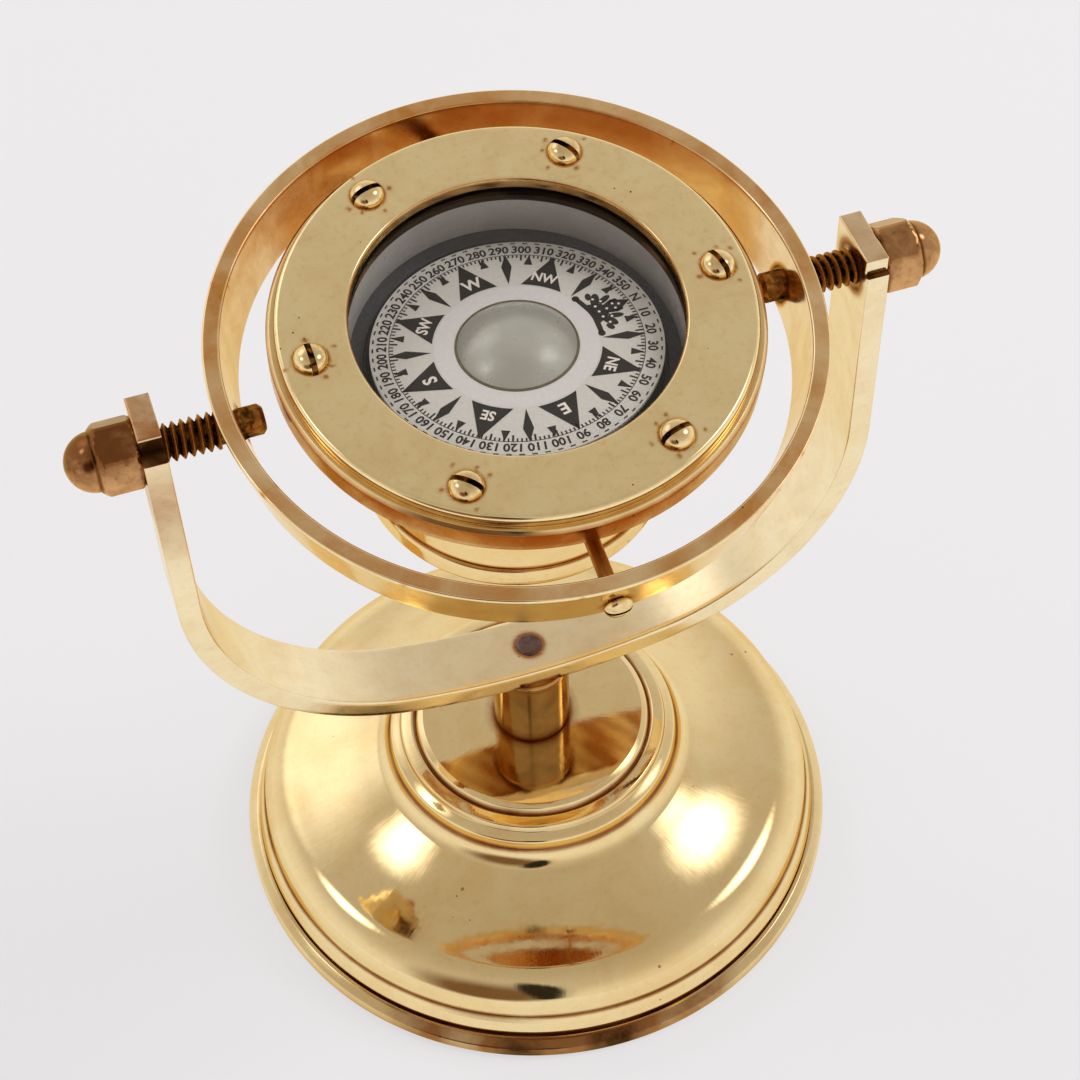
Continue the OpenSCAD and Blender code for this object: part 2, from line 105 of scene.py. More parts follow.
def along_x(side):
    """Lays a shape turned about Z out along X at the pivots' height, to the right (side 1) or the
    left (side -1): (x, y, z) becomes (side * z, y, height of the pivots - x)."""
    def lay(points):
        x, y, z = np.moveaxis(points, -1, 0)
        return np.stack([side * z, y, PIVOT[2] - x], axis=-1)
    return lay


def along_y(side=1, height=0.0):
    """Lays a shape turned about Z out along Y in the bowl's frame, to the back (side 1) or the
    front (side -1), at a height over the pivots: (x, y, z) becomes (x, side * z, height - y)."""
    def lay(points):
        x, y, z = np.moveaxis(points, -1, 0)
        return np.stack([x, side * z, height - y], axis=-1)
    return lay


print("pin point at", TIP.round(3), "mm")

# %% [markdown]
# ## Making meshes
#
# Two helpers make nearly every shape. One turns arrays of points and faces into a mesh whose faces look
# outwards, and checks that with the signed volume of the closed shell. The other carries a
# profile round an axis. Corners are true arcs, since a real lathe edge is always a little
# round and it is this small arc that catches the light.

# %% Mesh from arrays


def in_scene(name, data):
    """A new object with its mesh, lamp or camera data, linked to the scene."""
    thing = bpy.data.objects.new(name, data)
    bpy.context.scene.collection.objects.link(thing)
    return thing


def make_mesh(name, points, faces, crisp=32.0, values=None):
    """A mesh object from points in mm and a list of face arrays. Signed volume is the sum of
    a . (b x c) / 6 over all triangles; if it is negative, every face is turned round. Edges
    that bend by more than crisp degrees stay sharp; values are the stains and painted shade at
    each point, kept as grime_and_shade."""
    points = np.asarray(points, dtype=float) * MM
    tris = np.concatenate([f[:, [0, k, k + 1]] for f in faces for k in range(1, f.shape[1] - 1)])
    a, b, c = points[tris[:, 0]], points[tris[:, 1]], points[tris[:, 2]]
    if np.einsum("ij,ij->i", a, np.cross(b, c)).sum() < 0:
        faces = [f[:, ::-1] for f in faces]
    mesh = bpy.data.meshes.new(name)
    mesh.from_pydata(points.tolist(), [], [row for f in faces for row in f.tolist()])
    if values is not None:
        layer = mesh.attributes.new("grime_and_shade", "FLOAT", "POINT")
        layer.data.foreach_set("value", np.clip(values, 0, 1).astype(np.float32))
    mesh.shade_smooth()
    mesh.set_sharp_from_angle(angle=math.radians(crisp))
    mesh.update()
    return in_scene(name, mesh)


# %% Profiles with rounded corners


def rounded(corners, steps=6):
    """Profile points from corners (r, z, radius). Each corner with a radius becomes the arc that
    is tangent to both its sides; the arc's reach along a side is radius times tan(turn / 2)."""
    xy = np.array([c[:2] for c in corners], dtype=float)
    out = []
    for i, (r, z, radius) in enumerate(corners):
        if radius == 0 or i in (0, len(corners) - 1):
            out.append([r, z])
            continue
        here = xy[i]
        u = (xy[i - 1] - here) / np.linalg.norm(xy[i - 1] - here)
        v = (xy[i + 1] - here) / np.linalg.norm(xy[i + 1] - here)
        half = math.acos(float(np.clip(u @ v, -1, 1))) / 2
        reach = radius / math.tan(half)
        centre = here + (u + v) / np.linalg.norm(u + v) * radius / math.sin(half)
        start, end = here + u * reach - centre, here + v * reach - centre
        a0, a1 = math.atan2(start[1], start[0]), math.atan2(end[1], end[0])
        sweep = (a1 - a0 + math.pi) % (2 * math.pi) - math.pi
        t = a0 + sweep * np.linspace(0, 1, steps + 1)
        out.extend((centre + radius * np.stack([np.cos(t), np.sin(t)], 1)).tolist())
    return np.array(out)


# %% A profile carried round an axis


def turned(name, profile, steps=256, place=as_is, lay=as_is, closed=False, crisp=32.0, dirt=None,
           radius=None):
    """Surface of revolution: point (r, z) of the profile becomes (r cos a, r sin a, z) for every
    angle a. A row with r = 0 is one shared point. A closed profile joins its last row to its
    first. radius(r, z, a) may return another radius. dirt(points) gives the stains and
    painted shade at each point in the shape's own frame."""
    profile = np.asarray(profile, dtype=float)
    angle = np.arange(steps) * 2 * math.pi / steps
    r = np.repeat(profile[:, :1], steps, 1)
    z = np.repeat(profile[:, 1:2], steps, 1)
    if radius is not None:
        r = radius(r, z, angle[None, :])
    grid = np.stack([r * np.cos(angle), r * np.sin(angle), z], -1)
    pole = profile[:, 0] < 1e-9
    size = np.where(pole, 1, steps)
    first = np.concatenate([[0], np.cumsum(size)[:-1]])
    ids = first[:, None] + np.where(pole[:, None], 0, np.arange(steps)[None, :])
    points = np.concatenate([grid[i, :size[i]] for i in range(len(profile))])
    low, high = ids[:-1], ids[1:]
    if closed:
        low, high = np.concatenate([low, ids[-1:]]), np.concatenate([high, ids[:1]])
    quads = np.stack([low, np.roll(low, -1, 1), np.roll(high, -1, 1), high], -1).reshape(-1, 4)
    flat_low, flat_high = quads[:, 0] == quads[:, 1], quads[:, 2] == quads[:, 3]
    faces = [quads[~flat_low & ~flat_high]]
    if flat_low.any():
        faces.append(quads[flat_low & ~flat_high][:, [0, 2, 3]])
    if flat_high.any():
        faces.append(quads[flat_high & ~flat_low][:, [0, 1, 2]])
    values = None if dirt is None else dirt(points)
    return make_mesh(name, place(lay(points)), faces, crisp, values)


def joined(name, pieces):
    """One object from several, its points and grime kept. The single pieces are removed."""
    with bpy.context.temp_override(active_object=pieces[0], selected_editable_objects=pieces):
        bpy.ops.object.join()
    pieces[0].name = name
    pieces[0].data.name = name
    return pieces[0]


# %% [markdown]
# ## Camera
#
# The camera was found by fitting circles of known plane and centre, such as the foot, the ring,
# the bezel and the card, to their outlines in the picture. It looks down at 51 degrees from
# the left of the front, from 40 cm away.

# %% Camera at the picture's viewing angle
LENS_PX, PICTURE_PX, SENSOR_MM, STAND_OFF_MM = 2345.6, 1080.0, 36.0, 400.0
RIGHT = np.array([0.94785788, -0.31793051, -0.02203711])
UP = np.array([0.26093714, 0.73452238, 0.62640935])
BACK = np.array([-0.1829679, -0.59949734, 0.7791827])
AIM = np.array([0.18, -8.70, 92.93])


def axes_at(x, y, z, where):
    """Matrix of an object that stands at a point and whose own axes point along x, y and z."""
    return Matrix(np.vstack([np.stack([x, y, z, where], 1), [0, 0, 0, 1]]).tolist())


camera_data = bpy.data.cameras.new("camera")
camera_data.sensor_width = SENSOR_MM
camera_data.lens = SENSOR_MM * LENS_PX / PICTURE_PX
camera_data.clip_start = 0.01
camera_data.clip_end = 20.0
camera = in_scene("camera", camera_data)
eye = (AIM + STAND_OFF_MM * BACK) * MM
camera.matrix_world = axes_at(RIGHT, UP, BACK, eye)
bpy.context.scene.camera = camera
print("lens", round(camera_data.lens, 2), "mm at", eye.round(4))

# %% [markdown]
# ## Floor, world and lamps
#
# Polished metal is only as good as what it mirrors. The compass stands on white paper that sweeps
# up into a white wall, and the room above is dimmer. The world gives that: white at the horizon,
# a calm mid tone overhead. Three bright patches in it, with soft edges, give the white glows on
# the base. Two lamps stand near two of the patches and give the shadows; brass doesn't mirror
# them.

# %% Colours, nodes and directions


def linear(hex_colour):
    """sRGB hex to linear RGBA: v / 12.92 below 0.04045, else ((v + 0.055) / 1.055) ** 2.4."""
    v = np.array([int(hex_colour[i:i + 2], 16) / 255 for i in (1, 3, 5)])
    v = np.where(v <= 0.04045, v / 12.92, ((v + 0.055) / 1.055) ** 2.4)
    return (*v.tolist(), 1.0)


def add(tree, kind, inputs=None, ramp=(), **settings):
    """Adds a shader node; settings are its properties. inputs maps a socket, by name or number, to
    a value or to what feeds it: an output, or a node, which stands for its first output in use.
    ramp lists the (place, colour) stops of a colour ramp."""
    node = tree.nodes.new("ShaderNode" + kind)
    for name, value in settings.items():
        setattr(node, name, value)
    if ramp:
        stops = node.color_ramp.elements
        while len(stops) < len(ramp):
            stops.new(0.5)
        for stop, (place, colour) in zip(stops, ramp):
            stop.position = place
            stop.color = colour
    for socket, value in (inputs or {}).items():
        if isinstance(value, bpy.types.Node):
            value = next(output for output in value.outputs if output.enabled)
        if isinstance(value, bpy.types.NodeSocket):
            tree.links.new(value, node.inputs[socket])
        else:
            node.inputs[socket].default_value = value
    return node


def empty_tree(owner):
    """Switches on the nodes of a material or world and returns its tree with nothing in it."""
    owner.use_nodes = True
    owner.node_tree.nodes.clear()
    return owner.node_tree


def direction(azimuth, elevation):
    """Unit vector at an azimuth, from +X towards +Y, and an elevation, both in degrees."""
    a, e = math.radians(azimuth), math.radians(elevation)
    return np.array([math.cos(e) * math.cos(a), math.cos(e) * math.sin(a), math.sin(e)])


# %% Sky: white low down, dimmer overhead
world = bpy.data.worlds.new("studio")
bpy.context.scene.world = world
tree = empty_tree(world)
toward = add(tree, "TexCoord").outputs["Generated"]
split = add(tree, "SeparateXYZ", {0: toward})
sky = add(tree, "ValToRGB", {0: split.outputs["Z"]},
          ramp=[(0.0, linear("#FFFFFF")), (0.40, linear("#F2EFEB")), (0.66, linear("#D6D0C9")),
                (0.88, linear("#C9C1B7")), (1.0, linear("#BDB4A7"))])
print("sky:", len(sky.color_ramp.elements), "tones")

# %% Soft patches over the sky


def soft_patch(under, azimuth, elevation, core, edge, colour):
    """Lays a round patch with soft edges over the room: its full colour inside core degrees from
    its middle, gone at edge degrees. The chord between two unit vectors is 2 sin(gap / 2)."""
    middle = direction(azimuth, elevation).tolist()
    chord = add(tree, "VectorMath", {0: toward, 1: middle}, operation="DISTANCE")
    near, far = [2 * math.sin(math.radians(gap / 2)) for gap in (core, edge)]
    fade = add(tree, "MapRange", {"Value": chord, "From Min": near, "From Max": far, "To Min": 1.0,
                                  "To Max": 0.0}, interpolation_type="SMOOTHSTEP")
    return add(tree, "Mix", {0: fade, 6: under, 7: colour}, data_type="RGBA")


# The near side of the room is dim. In it is a dark patch, upright and narrow: its direction is
# measured from the patch's middle, stretched most sideways, and its length gives the soft edge.
near_wall = soft_patch(sky, -126, 26, 10, 32, linear("#7E6248"))
offset = add(tree, "VectorMath", {0: toward, 1: (-0.235, -0.77, 0.60)}, operation="SUBTRACT")
stretched = add(tree, "VectorMath", {0: offset, 1: (5.5, 1.6, 1.7)}, operation="MULTIPLY")
reach = add(tree, "VectorMath", {0: stretched}, operation="LENGTH")
clear = add(tree, "MapRange", {"Value": reach, "From Min": 0.42, "From Max": 0.70},
            interpolation_type="SMOOTHSTEP")
room = add(tree, "Mix", {0: clear, 6: linear("#2E2A24"), 7: near_wall}, data_type="RGBA")
# Three bright patches: right of the compass, left of it, and a weak wide one behind it.
lit = soft_patch(room, 3, 54, 0, 13, (4.5, 4.5, 4.5, 1.0))
lit = soft_patch(lit, 158, 54, 0, 11, (4.0, 4.0, 4.0, 1.0))
lit = soft_patch(lit, 116, 40, 6, 22, (1.4, 1.4, 1.4, 1.0))
# The camera sees an even pale backdrop instead, also through the glass.
paths = add(tree, "LightPath").outputs
seen = add(tree, "Math", {0: paths["Is Camera Ray"], 1: paths["Is Transmission Ray"]},
           operation="MAXIMUM")
backdrop = add(tree, "Mix", {0: seen, 6: lit, 7: linear("#EDECEF")}, data_type="RGBA")
light = add(tree, "Background", {"Color": backdrop, "Strength": 1.0})
add(tree, "OutputWorld", {"Surface": light})
print("world:", len(tree.nodes), "nodes")

# %% Floor of white paper
FLOOR_HALF = 1.6
floor_mesh = bpy.data.meshes.new("paper")
floor_mesh.from_pydata([(x * FLOOR_HALF, y * FLOOR_HALF, 0) for x, y in ((-1, -1), (1, -1), (1, 1), (-1, 1))],
                       [], [(0, 1, 2, 3)])
in_scene("paper", floor_mesh)

# Paper scatters light evenly. The camera and the mirrors see it a touch whiter than the light on
# it makes it: straight rays take 0.7 of their colour from a glow, and mirrored rays take 0.8.
paper = bpy.data.materials.new("white_paper")
tree = empty_tree(paper)
body = add(tree, "BsdfPrincipled", {"Base Color": linear("#E9E9EC"), "Roughness": 0.9,
                                    "Specular IOR Level": 0.1})
paths = add(tree, "LightPath").outputs
tint = add(tree, "Mix", {0: paths["Is Glossy Ray"], 6: linear("#EDECEE"), 7: linear("#FFFFFF")},
           data_type="RGBA")
glow = add(tree, "Emission", {"Color": tint, "Strength": 1.0})
straight = add(tree, "Math", {0: paths["Is Transmission Ray"], 1: paths["Is Camera Ray"]},
               operation="MAXIMUM")
seen = add(tree, "Math", {0: straight, 1: 0.7}, operation="MULTIPLY")
mirrored = add(tree, "Math", {0: paths["Is Glossy Ray"], 1: 0.8}, operation="MULTIPLY")
share = add(tree, "Math", {0: seen, 1: mirrored}, operation="MAXIMUM")
mix = add(tree, "MixShader", {0: share, 1: body, 2: glow})
add(tree, "OutputMaterial", {"Surface": mix})
floor_mesh.materials.append(paper)
print("floor:", 2 * FLOOR_HALF, "m square")

# %% Two soft lamps


def soft_box(name, azimuth, elevation, distance, size, power, aim=(0, 0, 0.06)):
    """An elliptical area lamp of size (width, height) in metres, that stands off from the point
    aim in a direction given by azimuth and elevation, and faces it."""
    toward = direction(azimuth, elevation)
    side = np.cross([0, 0, 1.0], toward)
    side /= np.linalg.norm(side)
    over = np.cross(toward, side)
    where = np.array(aim) + toward * distance
    data = bpy.data.lights.new(name, "AREA")
    data.shape = "ELLIPSE"
    data.size, data.size_y = size
    data.energy = power
    lamp = in_scene(name, data)
    lamp.matrix_world = axes_at(side, over, toward, where)
    lamp.visible_glossy = False


soft_box("box_right", 3, 50, 1.2, (0.45, 0.45), 4.0)
soft_box("window_back", 116, 40, 1.2, (0.5, 0.4), 1.6)

# %% [markdown]
# ## Brass
#
# The compass is cast and turned yellow brass, polished by hand and then left for years. A metal
# has no colour of its own under the light, it tints what it mirrors, and each further bounce
# between two brass faces tints again, which is why the inside of the ring looks orange. On
# top of that come broad clouds where the brass has tarnished, small dark pits, and a value that
# each mesh carries, called grime_and_shade: stains in some places, painted shade in grooves,
# holes and joints and under parts, and painted dark reflections on a few faces.

# %% Marks of a polishing mop
MOP_R, MOP_LONG_MM = 42.0, 9.0


def mop_marks(tree, where, depth_mm, normal):
    """Marks that run from the axis outwards. (x, y) / r * MOP_R goes once round a circle of radius
    MOP_R, so the marks are about a millimetre wide at that many mm from the axis, and the
    distance r over MOP_LONG_MM makes them that long."""
    flat = add(tree, "VectorMath", {0: where, 1: (1, 1, 0)}, operation="MULTIPLY")
    outward = add(tree, "VectorMath", {0: flat}, operation="NORMALIZE")
    circle = add(tree, "VectorMath", {0: outward, "Scale": MOP_R}, operation="SCALE")
    reach = add(tree, "VectorMath", {0: flat}, operation="LENGTH")
    length = add(tree, "Math", {0: reach, 1: 1000 / MOP_LONG_MM}, operation="MULTIPLY")
    along = add(tree, "CombineXYZ", {"Z": length})
    place = add(tree, "VectorMath", {0: circle, 1: along}, operation="ADD")
    mop = add(tree, "TexNoise", {"Vector": place, "Scale": 1.0, "Detail": 3.0, "Roughness": 0.6})
    return add(tree, "Bump", {"Height": mop, "Normal": normal, "Strength": 1.0,
                              "Distance": depth_mm * MM})


# %% Polished brass


def brass(name, clean, warm, dirt="#4A2C12", rough=0.07, cloud_mm=9.0, cloud=0.35, pit_mm=2.6, pits=0.5,
          wobble=0.05, streaks=0.0, specks=0.06, tarnish_and_shade="#B87A34"):
    """Polished brass: a clean and a warm tone mixed by clouds of about cloud_mm, pits about
    pit_mm apart, specks finer than that, smudges that dull the polish, and grime_and_shade from
    the mesh, which carries stains and painted shade. Up to a half it stains the metal with the
    colour tarnish_and_shade, and from 0.6 up it covers the metal with the colour dirt.
    streaks is the depth in mm of the marks that a polishing mop leaves."""
    material = bpy.data.materials.new(name)
    tree = empty_tree(material)
    where = add(tree, "TexCoord").outputs["Object"]
    clouds = add(tree, "TexNoise", {"Vector": where, "Scale": 1000 / cloud_mm, "Detail": 5.0,
                                    "Roughness": 0.6, "Distortion": 0.6})
    cloudy = add(tree, "MapRange", {"Value": clouds, "From Min": 0.42, "From Max": 0.78, "To Max": cloud})
    tone = add(tree, "Mix", {0: cloudy, 6: linear(clean), 7: linear(warm)}, data_type="RGBA")
    # brown mottling, a millimetre or so across, as lacquer and sweat leave it
    mottle = add(tree, "TexNoise", {"Vector": where, "Scale": 1000 / 1.3, "Detail": 3.0, "Roughness": 0.7})
    mottled = add(tree, "MapRange", {"Value": mottle, "From Min": 0.52, "From Max": 0.78, "To Max": specks})
    # pits: spots whose radius is up to a fifth of a cell, kept only in patches of about 14 mm
    cells = add(tree, "TexVoronoi", {"Vector": where, "Scale": 1000 / pit_mm, "Randomness": 1.0})
    patches = add(tree, "TexNoise", {"Vector": where, "Scale": 1000 / 14.0, "Detail": 3.0})
    pit_r = add(tree, "MapRange", {"Value": patches, "From Min": 0.54, "From Max": 0.8, "To Max": 0.2})
    pit = add(tree, "Math", {0: cells, 1: pit_r}, operation="LESS_THAN")
    pitted = add(tree, "Math", {0: pit, 1: pits}, operation="MULTIPLY")
    # grime_and_shade from the mesh, broken up by the clouds, first stains the metal and then covers it
    grime_and_shade = add(tree, "Attribute", attribute_name="grime_and_shade").outputs["Fac"]
    breakup = add(tree, "MapRange", {"Value": clouds, "From Min": 0.25, "From Max": 0.65, "To Min": 0.55,
                                     "To Max": 1.2})
    broken_grime_and_shade = add(tree, "Math", {0: grime_and_shade, 1: breakup}, operation="MULTIPLY", use_clamp=True)
    grown = add(tree, "Math", {0: broken_grime_and_shade, 1: mottled}, operation="ADD")
    stain = add(tree, "MapRange", {"Value": grown, "From Max": 0.5, "To Max": 0.88})
    cover = add(tree, "MapRange", {"Value": broken_grime_and_shade, "From Min": 0.6, "From Max": 1.0})
    dark = add(tree, "Math", {0: cover, 1: pitted}, operation="MAXIMUM", use_clamp=True)
    stained = add(tree, "Mix", {0: stain, 6: tone, 7: linear(tarnish_and_shade)}, data_type="RGBA")
    colour = add(tree, "Mix", {0: dark, 6: stained, 7: linear(dirt)}, data_type="RGBA")
    # smudges of about 5 mm dull the mirror a little, stains and dirt dull it more
    smudge = add(tree, "TexNoise", {"Vector": where, "Scale": 1000 / 5.0, "Detail": 4.0, "Roughness": 0.7})
    dull = add(tree, "MapRange", {"Value": smudge, "From Min": 0.35, "From Max": 0.75,
                                  "To Min": rough * 0.7, "To Max": rough * 2.0})
    dull_stain = add(tree, "Math", {0: stain, 1: 0.13, 2: dull}, operation="MULTIPLY_ADD")
    dull_dark = add(tree, "Math", {0: dark, 1: 0.4, 2: dull_stain}, operation="MULTIPLY_ADD")
    # hand polishing leaves the surface gently wavy, a few hundredths of a millimetre over 6 mm
    waves = add(tree, "TexNoise", {"Vector": where, "Scale": 1000 / 6.0, "Detail": 2.0})
    height = add(tree, "Math", {0: dark, 1: -0.6, 2: waves}, operation="MULTIPLY_ADD")
    normal = add(tree, "Bump", {"Height": height, "Strength": wobble, "Distance": 0.0004})
    if streaks:
        normal = mop_marks(tree, where, streaks, normal)
    metal = add(tree, "BsdfPrincipled", {"Base Color": colour, "Metallic": 1.0, "Roughness": dull_dark,
                                         "Specular Tint": linear("#F3E2BC"), "Normal": normal})
    add(tree, "OutputMaterial", {"Surface": metal})
    return material


# %% The brass and bronze of each part
# The base is the brightest mirror, with mop marks across it. The yoke is satin and pale, the ring and
# bowl are a little deeper, the stem is darker, partly tarnished and partly a painted dark reflection,
# and the screws are duller.
base_brass = brass("polished_brass_base", "#EFD7A2", "#DEB066", rough=0.055, cloud_mm=14, cloud=0.45,
                   pits=0.6, streaks=0.006, wobble=0.07, tarnish_and_shade="#8A4A14")
# The stem's dark tones are partly tarnished brass and partly a painted dark reflection.
stem_brass = brass("dark_brass_and_reflection_stem", "#B59468", "#7A5A38", cloud=0.8, rough=0.06)
yoke_brass = brass("satin_brass_yoke", "#F6E4BC", "#E3BE84", cloud=0.45, rough=0.12, tarnish_and_shade="#A05C1C")
ring_brass = brass("satin_brass_ring", "#F6E0B2", "#DDAE68", rough=0.10, cloud=0.5, pits=0.8,
                   tarnish_and_shade="#C47A1C")
# The bowl's tarnish_and_shade colour paints the dark reflection on the flange's side.
bowl_brass = brass("polished_brass_bowl", "#F2D69C", "#D9AA60", cloud=0.4, rough=0.08, tarnish_and_shade="#A8580E")
bezel_brass = brass("polished_brass_bezel", "#F6E2AE", "#E6C286", cloud=0.5, pits=0.9, rough=0.06, pit_mm=1.8,
                    specks=0.12)
# The screws' near-black dirt colour paints the shade in the slots and round the heads.
screw_brass = brass("worn_brass_screws", "#F0D6A0", "#B98F5A", dirt="#1A1008", rough=0.06, cloud_mm=3,
                    cloud=0.7, specks=0.2)
# Acorn nuts of a redder bronze.
# Its darker tones are partly painted dark reflections.
nut_bronze = brass("aged_bronze_and_reflection_nuts", "#D6A470", "#8A5830", dirt="#2A160E", rough=0.06, cloud_mm=4,
                   cloud=0.7, pits=0.9, pit_mm=1.3, specks=0.25, tarnish_and_shade="#74421E")
# Threads and pivots are a browner brass, darker in every groove.
thread_brass = brass("browned_brass_threads", "#8A5526", "#4A2A14", dirt="#140A06", rough=0.26, cloud_mm=1.6,
                     cloud=1.0, pits=0.8, pit_mm=1.2)
# The tie rod is iron, rusted purple brown where its end shows in the yoke.
rod_iron = brass("rusted_iron_rod", "#75605E", "#4E3638", dirt="#2A1C1C", rough=0.4, cloud_mm=1.4, cloud=0.9)
print("brass materials ready")

# %% [markdown]
# ## The other finishes
#
# Everything that isn't polished metal gets one recipe with its own values: two close colours mixed
# by a fine pattern, a roughness with some spread, and a low bump. What changes from one to the
# next is the real size of the pattern, which is why it is given in millimetres.

# %% Paint, rubber, felt, card and plain metals


def surface(name, colour, other, rough, grain_mm, metallic=0.0, bump=0.1, relief_mm=0.05, sheen=0.0):
    """A surface whose two colours are mixed by a noise of grain_mm; relief_mm is its depth."""
    material = bpy.data.materials.new(name)
    tree = empty_tree(material)
    where = add(tree, "TexCoord").outputs["Object"]
    grain = add(tree, "TexNoise", {"Vector": where, "Scale": 1000 / grain_mm, "Detail": 5.0,
                                   "Roughness": 0.6})
    part = add(tree, "MapRange", {"Value": grain, "From Min": 0.35, "From Max": 0.65})
    tone = add(tree, "Mix", {0: part, 6: linear(colour), 7: linear(other)}, data_type="RGBA")
    dull = add(tree, "MapRange", {"Value": grain, "From Min": 0.3, "From Max": 0.7,
                                  "To Min": rough * 0.8, "To Max": min(1.0, rough * 1.2)})
    relief = add(tree, "Bump", {"Height": grain, "Strength": bump, "Distance": relief_mm * MM})
    shader = add(tree, "BsdfPrincipled", {"Base Color": tone, "Metallic": metallic, "Roughness": dull,
                                          "Sheen Weight": sheen, "Normal": relief})
    add(tree, "OutputMaterial", {"Surface": shader})
    return material


# %% Materials of the other parts
# Nitrile rubber, moulded: black, dull, with a faint bloom.
gasket_rubber = surface("moulded_rubber_gasket", "#17130F", "#241D18", 0.55, 1.2)
# Stoved white enamel on the bowl's inner wall, greyed by the oil.
white_enamel = surface("white_enamel_liner", "#C6C5C6", "#B6B5B6", 0.3, 6.0, bump=0.03)
# Dark grey crackle enamel on the ring round the card and inside the bowl's chamber; its dark grey stands
# partly for painted shade in the gap round the card.
grey_enamel_and_shade = surface("grey_enamel_and_shade_card_ring", "#4A4C52", "#3C3E44", 0.55, 0.5, bump=0.25)
# Coated card stock with a screen-printed face, seen through oil that yellows it a little.
card_stock = surface("coated_card_stock", "#D9DDDD", "#D1D5D5", 0.45, 0.7, bump=0.05)
card_centre = surface("coated_card_centre", "#E0E3E9", "#D8DBE2", 0.45, 0.7, bump=0.05)
print_black = surface("printing_ink_black", "#100D0C", "#181412", 0.5, 0.6, bump=0.03)
print_white = surface("printing_ink_white", "#F0EFEC", "#E8E7E4", 0.5, 0.6, bump=0.03)
# The float is pressed from thin metal and lacquered silver, with a soft pearly glow.
float_pearl = surface("pearl_lacquer_float", "#BEC3BF", "#B4B9B5", 0.3, 5.0, metallic=0.4, bump=0.03)
# A dark olive line of painted shade at the foot of the float.
float_foot_shade = surface("painted_shade_float_foot", "#6E674A", "#5A543C", 0.5, 1.0)
# Billiard felt under the foot: green wool fibres about a fifth of a millimetre thick.
wool_felt = surface("green_wool_felt", "#234A34", "#18382A", 0.95, 0.35, bump=0.6, relief_mm=0.2,
                    sheen=0.4)
cast_iron = surface("sand_cast_iron", "#3A3835", "#2B2927", 0.7, 0.9, metallic=0.6, bump=0.5, relief_mm=0.15)
soft_lead = surface("cast_lead_weight", "#6C6F73", "#5B5E62", 0.5, 2.0, metallic=0.8, bump=0.2)
turned_steel = surface("turned_steel", "#9C9B98", "#878683", 0.28, 0.8, metallic=1.0, bump=0.06)
magnet_steel = surface("hardened_magnet_steel", "#5E6066", "#4B4D52", 0.35, 0.8, metallic=1.0, bump=0.06)
ruby = surface("synthetic_ruby_bearing", "#8A1024", "#7A0C1E", 0.08, 0.5, bump=0.0)
raw_brass = surface("plain_turned_brass", "#D8BE80", "#C9A763", 0.25, 1.5, metallic=1.0, bump=0.08)
bronze_sheet = surface("phosphor_bronze_sheet", "#C08E5C", "#AC7B4C", 0.3, 3.0, metallic=1.0, bump=0.05)
print("materials so far:", len(bpy.data.materials))

# %% Window glass
# Flat float glass is nearly invisible: light passes straight through a pane this thin, and only
# the reflection shows, weak when seen from above and strong at a low angle.
window_glass = bpy.data.materials.new("clear_float_glass")
tree = empty_tree(window_glass)
through = add(tree, "BsdfTransparent", {"Color": linear("#FBF9F7")})
gleam = add(tree, "BsdfGlossy", {"Color": linear("#FFFFFF"), "Roughness": 0.02})
share = add(tree, "Fresnel", {"IOR": 1.5})
back = add(tree, "NewGeometry").outputs["Backfacing"]
near_side = add(tree, "Math", {0: 0.8, 1: back}, operation="SUBTRACT")
weak = add(tree, "Math", {0: share, 1: near_side}, operation="MULTIPLY", use_clamp=True)
pane = add(tree, "MixShader", {0: weak, 1: through, 2: gleam})
add(tree, "OutputMaterial", {"Surface": pane})
print("materials:", len(bpy.data.materials))

# %% Finish, body and nodes of a piece


def finish(piece, material, body, *nodes, slot=None):
    """Gives a piece its material and its body, and hides the solids of the nodes that it stands for.
    slot is not used."""
    piece.data.materials.clear()
    piece.data.materials.append(material)
    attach(piece, body)
    if nodes:
        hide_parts(*nodes)
    return piece


# %% [markdown]
# ## Base
#
# The base is one hollow turning: a foot with a groove above it, a small bead, a bell and a
# stepped plinth. The bell is a cone that grows flatter outwards and then rolls over into its
# edge. Those slopes place the mirror image of the ring and yoke on it, low down at the front.
# Each groove, the stem's seat and the foot's lower edge get painted shade: a bell curve of the
# distance to the groove's circle.

# %% Painted shade near circles, and finer profiles


def near_circles(circles):
    """Painted shade from a list of (r, z, width, amount): amount * exp(-(distance / width) ** 2),
    where distance is measured in the profile's plane; the largest one counts."""
    def dirt(points):
        r, z = np.hypot(points[:, 0], points[:, 1]), points[:, 2]
        each = [amount * np.exp(-((r - r0) ** 2 + (z - z0) ** 2) / width ** 2)
                for r0, z0, width, amount in circles]
        return np.max(each, axis=0)
    return dirt


def finer(profile, step):
    """Adds points so that no straight piece of the profile is longer than step."""
    out = [profile[:1]]
    for a, b in zip(profile[:-1], profile[1:]):
        count = max(1, int(math.ceil(np.linalg.norm(b - a) / step)))
        out.append(a + (b - a) * np.linspace(0, 1, count + 1)[1:, None])
    return np.concatenate(out)


